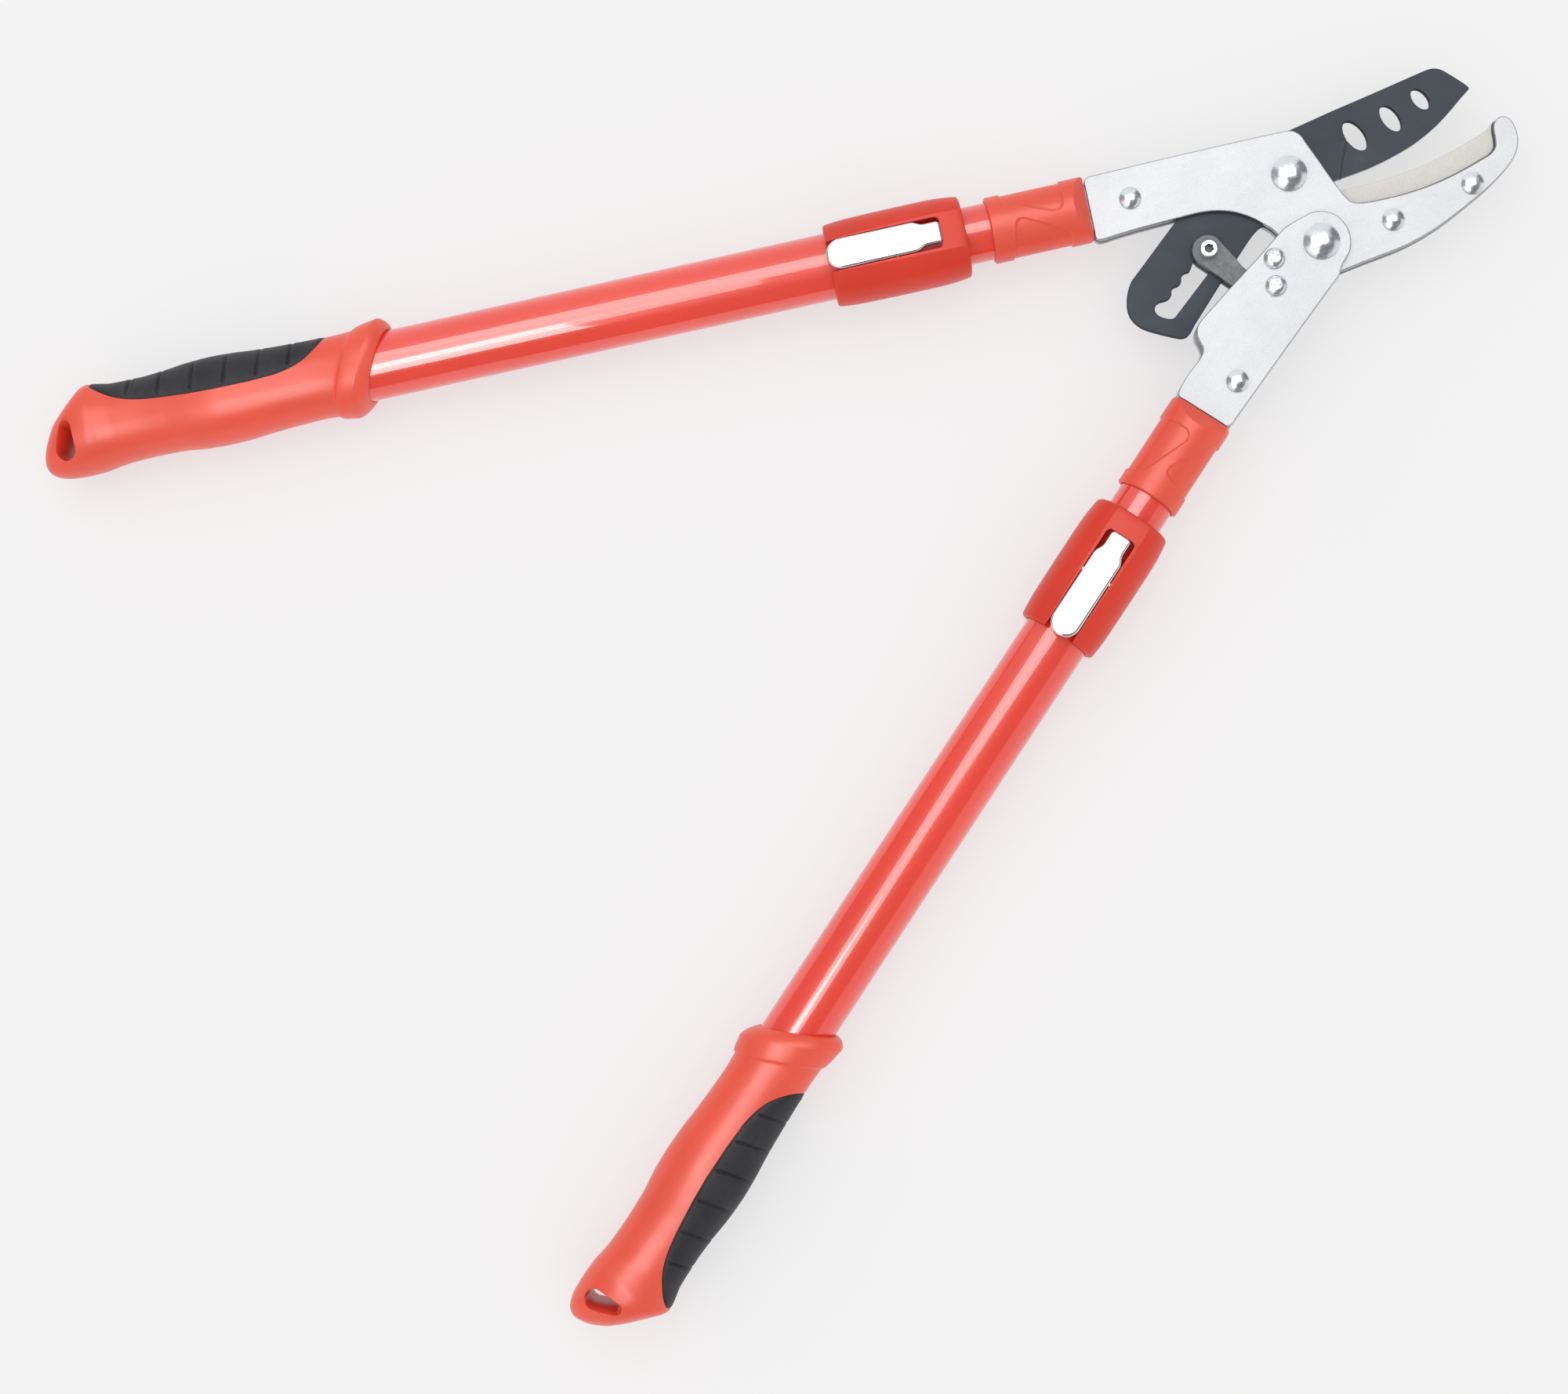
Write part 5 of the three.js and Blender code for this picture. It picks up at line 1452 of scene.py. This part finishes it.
def teardrop(pad_side, grow):
    """Two arcs with shared tangents."""
    (large, large_r), (small, small_r) = DROP_LARGE, DROP_SMALL
    large_r, small_r = large_r + grow, small_r + grow
    dx, dy = small[0] - large[0], small[1] - large[1]
    base = math.degrees(math.atan2(dy, dx))
    off = math.degrees(math.acos((large_r - small_r) / math.hypot(dx, dy)))
    points = arc(large, large_r, base + off, base + 360 - off, 32)
    points += arc(small, small_r, base - off, base + off, 16)
    return [(x, y * pad_side) for x, y in points]


def drop_cutter(pad_side):
    """Through hole with a flared rim on both faces of the grip."""
    levels = [(-z, grow) for z, grow in reversed(DROP_RIM)] + DROP_RIM
    return loft("cut", [[(x, y, z) for x, y in teardrop(pad_side, grow)] for z, grow in levels])


def zone_cutter(pad_side, grow):
    """Block over the pad's area, grown by a clearance."""
    points = [(x + (grow if x > -400 else -grow), y - grow) for x, y in PAD_BOUNDARY[1:-1]]
    points += [(-461.6 - grow, 30), (-404, 34), (-346.8 + grow, 30)]
    return prism("zone", [(x, y * pad_side) for x, y in smooth(points, 0.8, 12.0)], -30, 30)


def grip_and_pad(prefix, place, pad_side):
    bore_end = OUTER_TAIL - 1.2
    bore = turned("bore", [(0, bore_end), (15.2, bore_end), (15.2, -300), (0, -300)],
                  "X", seg=112)
    grip = grip_body(prefix + "_grip_fine", pad_side)
    boolean(grip, zone_cutter(pad_side, PAD_CLEARANCE))
    boolean(grip, bore, keep=True)
    boolean(grip, drop_cutter(pad_side))
    put(grip, place, "red_plastic", M_MOULD, angle=30)
    pad = grip_body(prefix + "_grip_pad_fine", pad_side, relief=True)
    boolean(pad, bore)
    boolean(pad, zone_cutter(pad_side, 0.0), "INTERSECT")
    put(pad, place, "soft_pad", M_PAD, angle=45)


# ------------------------------------------------------------------ handles: assembly
def handle(prefix, matrix, body, pad_side, plate_out, tang_half, tang_width, tang_end, rivet_at):
    """One telescopic handle; body is what its fixed parts ride on."""
    fixed = (matrix, body)
    put(collar(prefix + "_collar_fine", plate_out, tang_half, tang_width),
        fixed, "red_plastic", M_MOULD, angle=40)
    put(inner_tube(prefix + "_inner_tube_fine"), fixed, "handle_tube", M_PAINT)
    put(turned(prefix + "_tube_glide_fine", GLIDE_PROFILE, "X", seg=72),
        fixed, "glide_nylon", M_NYLON)
    put(plate(prefix + "_tang_bar_fine",
              rounded_box(-46, tang_end, tang_width, [1, 3.5, 3.5, 1], 8),
              [circle(rivet_at, RIVET_HOLE, 32)], -tang_half, tang_half,
              top=0.4, bottom=0.4, seg=3), fixed, BRIGHT, *[M_STEEL] * 4)
    sliding = (matrix, prefix + "_handle")
    put(outer_tube(prefix + "_outer_tube_fine"), sliding, "handle_tube", M_PAINT)
    put(lock_sleeve(prefix + "_lock_sleeve_fine"), sliding, "red_plastic", M_SLEEVE, angle=17)
    put(turned(prefix + "_tab_pin_fine", TAB_PIN_PROFILE, "Y", TAB_AT, 40),
        sliding, BRIGHT, M_BRIGHT)
    put(tab_spring(prefix + "_tab_spring_fine"), sliding, "spring_wire", M_WIRE)
    grip_and_pad(prefix, sliding, pad_side)
    tab = (matrix, prefix + "_tab")
    put(lock_tab(prefix + "_lock_tab_fine"), tab, "lock_tab", M_CHROME, angle=30)
    put(turned(prefix + "_lock_peg_fine", PEG_PROFILE, at=(PEG_X, 0, 0), seg=56),
        tab, BRIGHT, M_BRIGHT)


def offset(point, origin):
    return (point[0] - origin[0], point[1] - origin[1])


handle("upper", UPPER, "head_frame", pad_side=1, plate_out=PLATE_OUT, tang_half=1.75,
       tang_width=10.6, tang_end=29, rivet_at=offset(TANG_RIVET_FIXED, FIXED_HANDLE))
handle("lower", LOWER, "moving_arm", pad_side=-1, plate_out=ARM_OUT, tang_half=4.4,
       tang_width=10.0, tang_end=31, rivet_at=offset(TANG_RIVET_MOVING, MOVING_HANDLE))


# ------------------------------------------------------------------ floor, in metres from here on
def floor(half=4.0, z=-0.0001):
    """Pale paper floor with a faint glow of its own."""
    mesh = bpy.data.meshes.new("floor")
    corners = [(-half, -half, z), (half, -half, z), (half, half, z), (-half, half, z)]
    mesh.from_pydata(corners, [], [(0, 1, 2, 3)])
    piece = bpy.data.objects.new("floor", mesh)
    bpy.context.scene.collection.objects.link(piece)
    mat = Finish("floor_paper", local=False)
    mottle = mat.noise(scale=2.0, detail=2.0, rough=0.5)
    mat.set(color=mat.ramp(mottle, [(0.3, (0.295, 0.292, 0.293)), (0.7, (0.305, 0.302, 0.303))]),
            rough=0.8, spec=0.1, glow=(1.0, 0.993, 0.995), glow_strength=0.585)
    mesh.materials.append(mat.material)


floor()
scene = bpy.context.scene

# ------------------------------------------------------------------ world
STUDIO_TURN = 12.2  # degrees about z
COOL, GREEN, FLAT = (0.97, 1.0, 1.04), (0.97, 1.0, 0.985), (1, 1, 1)
# what bright metal and gloss paint mirror: rows of (azimuth in degrees, brightness, tint)
LOW_WALLS = [
    (-180, 0.34, COOL), (-170, 0.36, COOL), (-160, 0.8, FLAT), (-106, 0.8, FLAT),
    (-100, 0.26, COOL), (-62, 0.28, COOL), (-52, 0.76, GREEN), (12, 0.80, GREEN),
    (16, 0.20, COOL), (53, 0.22, COOL), (58, 0.80, GREEN), (139, 0.86, GREEN),
    (146, 0.30, COOL), (180, 0.32, COOL),
]
HIGH_WALLS = [
    (-180, 0.32, COOL), (-165, 0.8, FLAT), (-108, 0.8, FLAT), (-100, 0.2, COOL),
    (-10, 0.22, COOL), (30, 0.26, COOL), (60, 0.82, GREEN), (138, 0.87, GREEN),
    (146, 0.30, COOL), (180, 0.32, COOL),
]


def studio_world():
    """Walls for reflections, an even tone for diffuse light, a pale backdrop for the camera."""
    world = bpy.data.worlds.new("studio")
    scene.world = world
    sky = Graph(world)
    turned_view = sky.node("ShaderNodeVectorRotate", {
        "Angle": math.radians(STUDIO_TURN),
        "Vector": sky.node("ShaderNodeTexCoord").outputs["Generated"]}, rotation_type="Z_AXIS")
    axes = sky.node("ShaderNodeSeparateXYZ", {0: turned_view.outputs[0]}).outputs
    azimuth = sky.math("ARCTAN2", axes["Y"], axes["X"])
    turn = sky.math("ADD", sky.math("MULTIPLY", azimuth, 1 / (2 * math.pi)), 0.5)
    low, high = (
        sky.ramp(turn, [(degrees / 360 + 0.5, tuple(value * part for part in tint))
                        for degrees, value, tint in walls])
        for walls in (LOW_WALLS, HIGH_WALLS))
    rise = sky.span(axes["Z"], within=(0.46, 0.60), kind="SMOOTHSTEP")
    rays = sky.node("ShaderNodeLightPath").outputs
    seen = sky.mix(rays["Is Diffuse Ray"], sky.mix(rise, low, high), (0.95, 0.952, 0.956))
    seen = sky.mix(rays["Is Camera Ray"], seen, (0.90, 0.89, 0.895))
    background = sky.node("ShaderNodeBackground", {"Color": seen})
    sky.node("ShaderNodeOutputWorld", {"Surface": background.outputs[0]})


studio_world()


# ------------------------------------------------------------------ lights and camera
def softbox(name, at, size, radiance, degrees=0.0, glossy=True, diffuse=True):
    """Area light that shines straight down; degrees turns it about z."""
    light = bpy.data.lights.new(name, "AREA")
    light.shape = "RECTANGLE"
    light.size, light.size_y = size
    light.energy = radiance * math.pi * size[0] * size[1]
    lamp = bpy.data.objects.new(name, light)
    scene.collection.objects.link(lamp)
    lamp.matrix_world = Matrix.Translation(at) @ Matrix.Rotation(math.radians(degrees), 4, "Z")
    lamp.visible_glossy = glossy
    lamp.visible_diffuse = diffuse


# three boxes for the reflections, then two for the even light on the floor
softbox("key_right", at=(0.485, 0.54, 1.30), size=(1.03, 0.92), radiance=2.9, diffuse=False)
softbox("key_left", at=(-0.305, 0.35, 1.30), size=(0.55, 1.30), radiance=2.9, diffuse=False)
softbox("strip_left", at=(-0.42, -0.36, 1.29), size=(0.38, 0.90), radiance=6.0, diffuse=False)
softbox("key_soft", at=(-0.45, 0.75, 1.35), size=(1.6, 1.2), radiance=0.55, degrees=-12,
        glossy=False)
softbox("fill_soft", at=(0.4, -0.9, 1.4), size=(1.8, 1.2), radiance=0.22, glossy=False)

CAMERA_AT = (0.020661, -0.042173, 1.033049)
# world-to-camera turn: an axis whose length is the angle, in degrees
CAMERA_TURN = (-3.26606606, -3.22033598, 11.85355978)


def add_camera():
    lens = bpy.data.cameras.new("camera")
    lens.sensor_width, lens.lens = 36.0, 52.2
    lens.clip_start, lens.clip_end = 0.01, 50
    camera = bpy.data.objects.new("camera", lens)
    scene.collection.objects.link(camera)
    axis = Vector([math.radians(degrees) for degrees in CAMERA_TURN])
    turn = Matrix.Rotation(axis.length, 3, axis.normalized())
    camera.matrix_world = Matrix.Translation(CAMERA_AT) @ turn.transposed().to_4x4()
    scene.camera = camera


add_camera()
scene.view_settings.view_transform = "Standard"
scene.view_settings.look = "None"
scene.view_settings.exposure = 0.0

# ------------------------------------------------------------------ the record's own nodes, materials
WHOLE_NAMES = {"blade": M_BLADE, "anvil": M_ANVIL}
NAME_PARTS = [  # the first row with a word in the node's name gives its material
    (("plate",), M_PLATE), (("link",), M_LINK_AND_PAINTED_SHADE), (("tube_glide",), M_NYLON), (("tube",), M_PAINT),
    (("pad",), M_PAD), (("grip", "collar", "sleeve"), M_MOULD), (("lock_tab",), M_CHROME),
    (("spring",), M_WIRE), (("rivet", "screw", "nut", "pin", "peg"), M_BRIGHT),
]
for name, node in frame["nodes"].items():
    by_part = next((material for words, material in NAME_PARTS
                    if any(word in name for word in words)), M_STEEL)
    node.data.materials.clear()
    node.data.materials.append(WHOLE_NAMES.get(name, by_part))
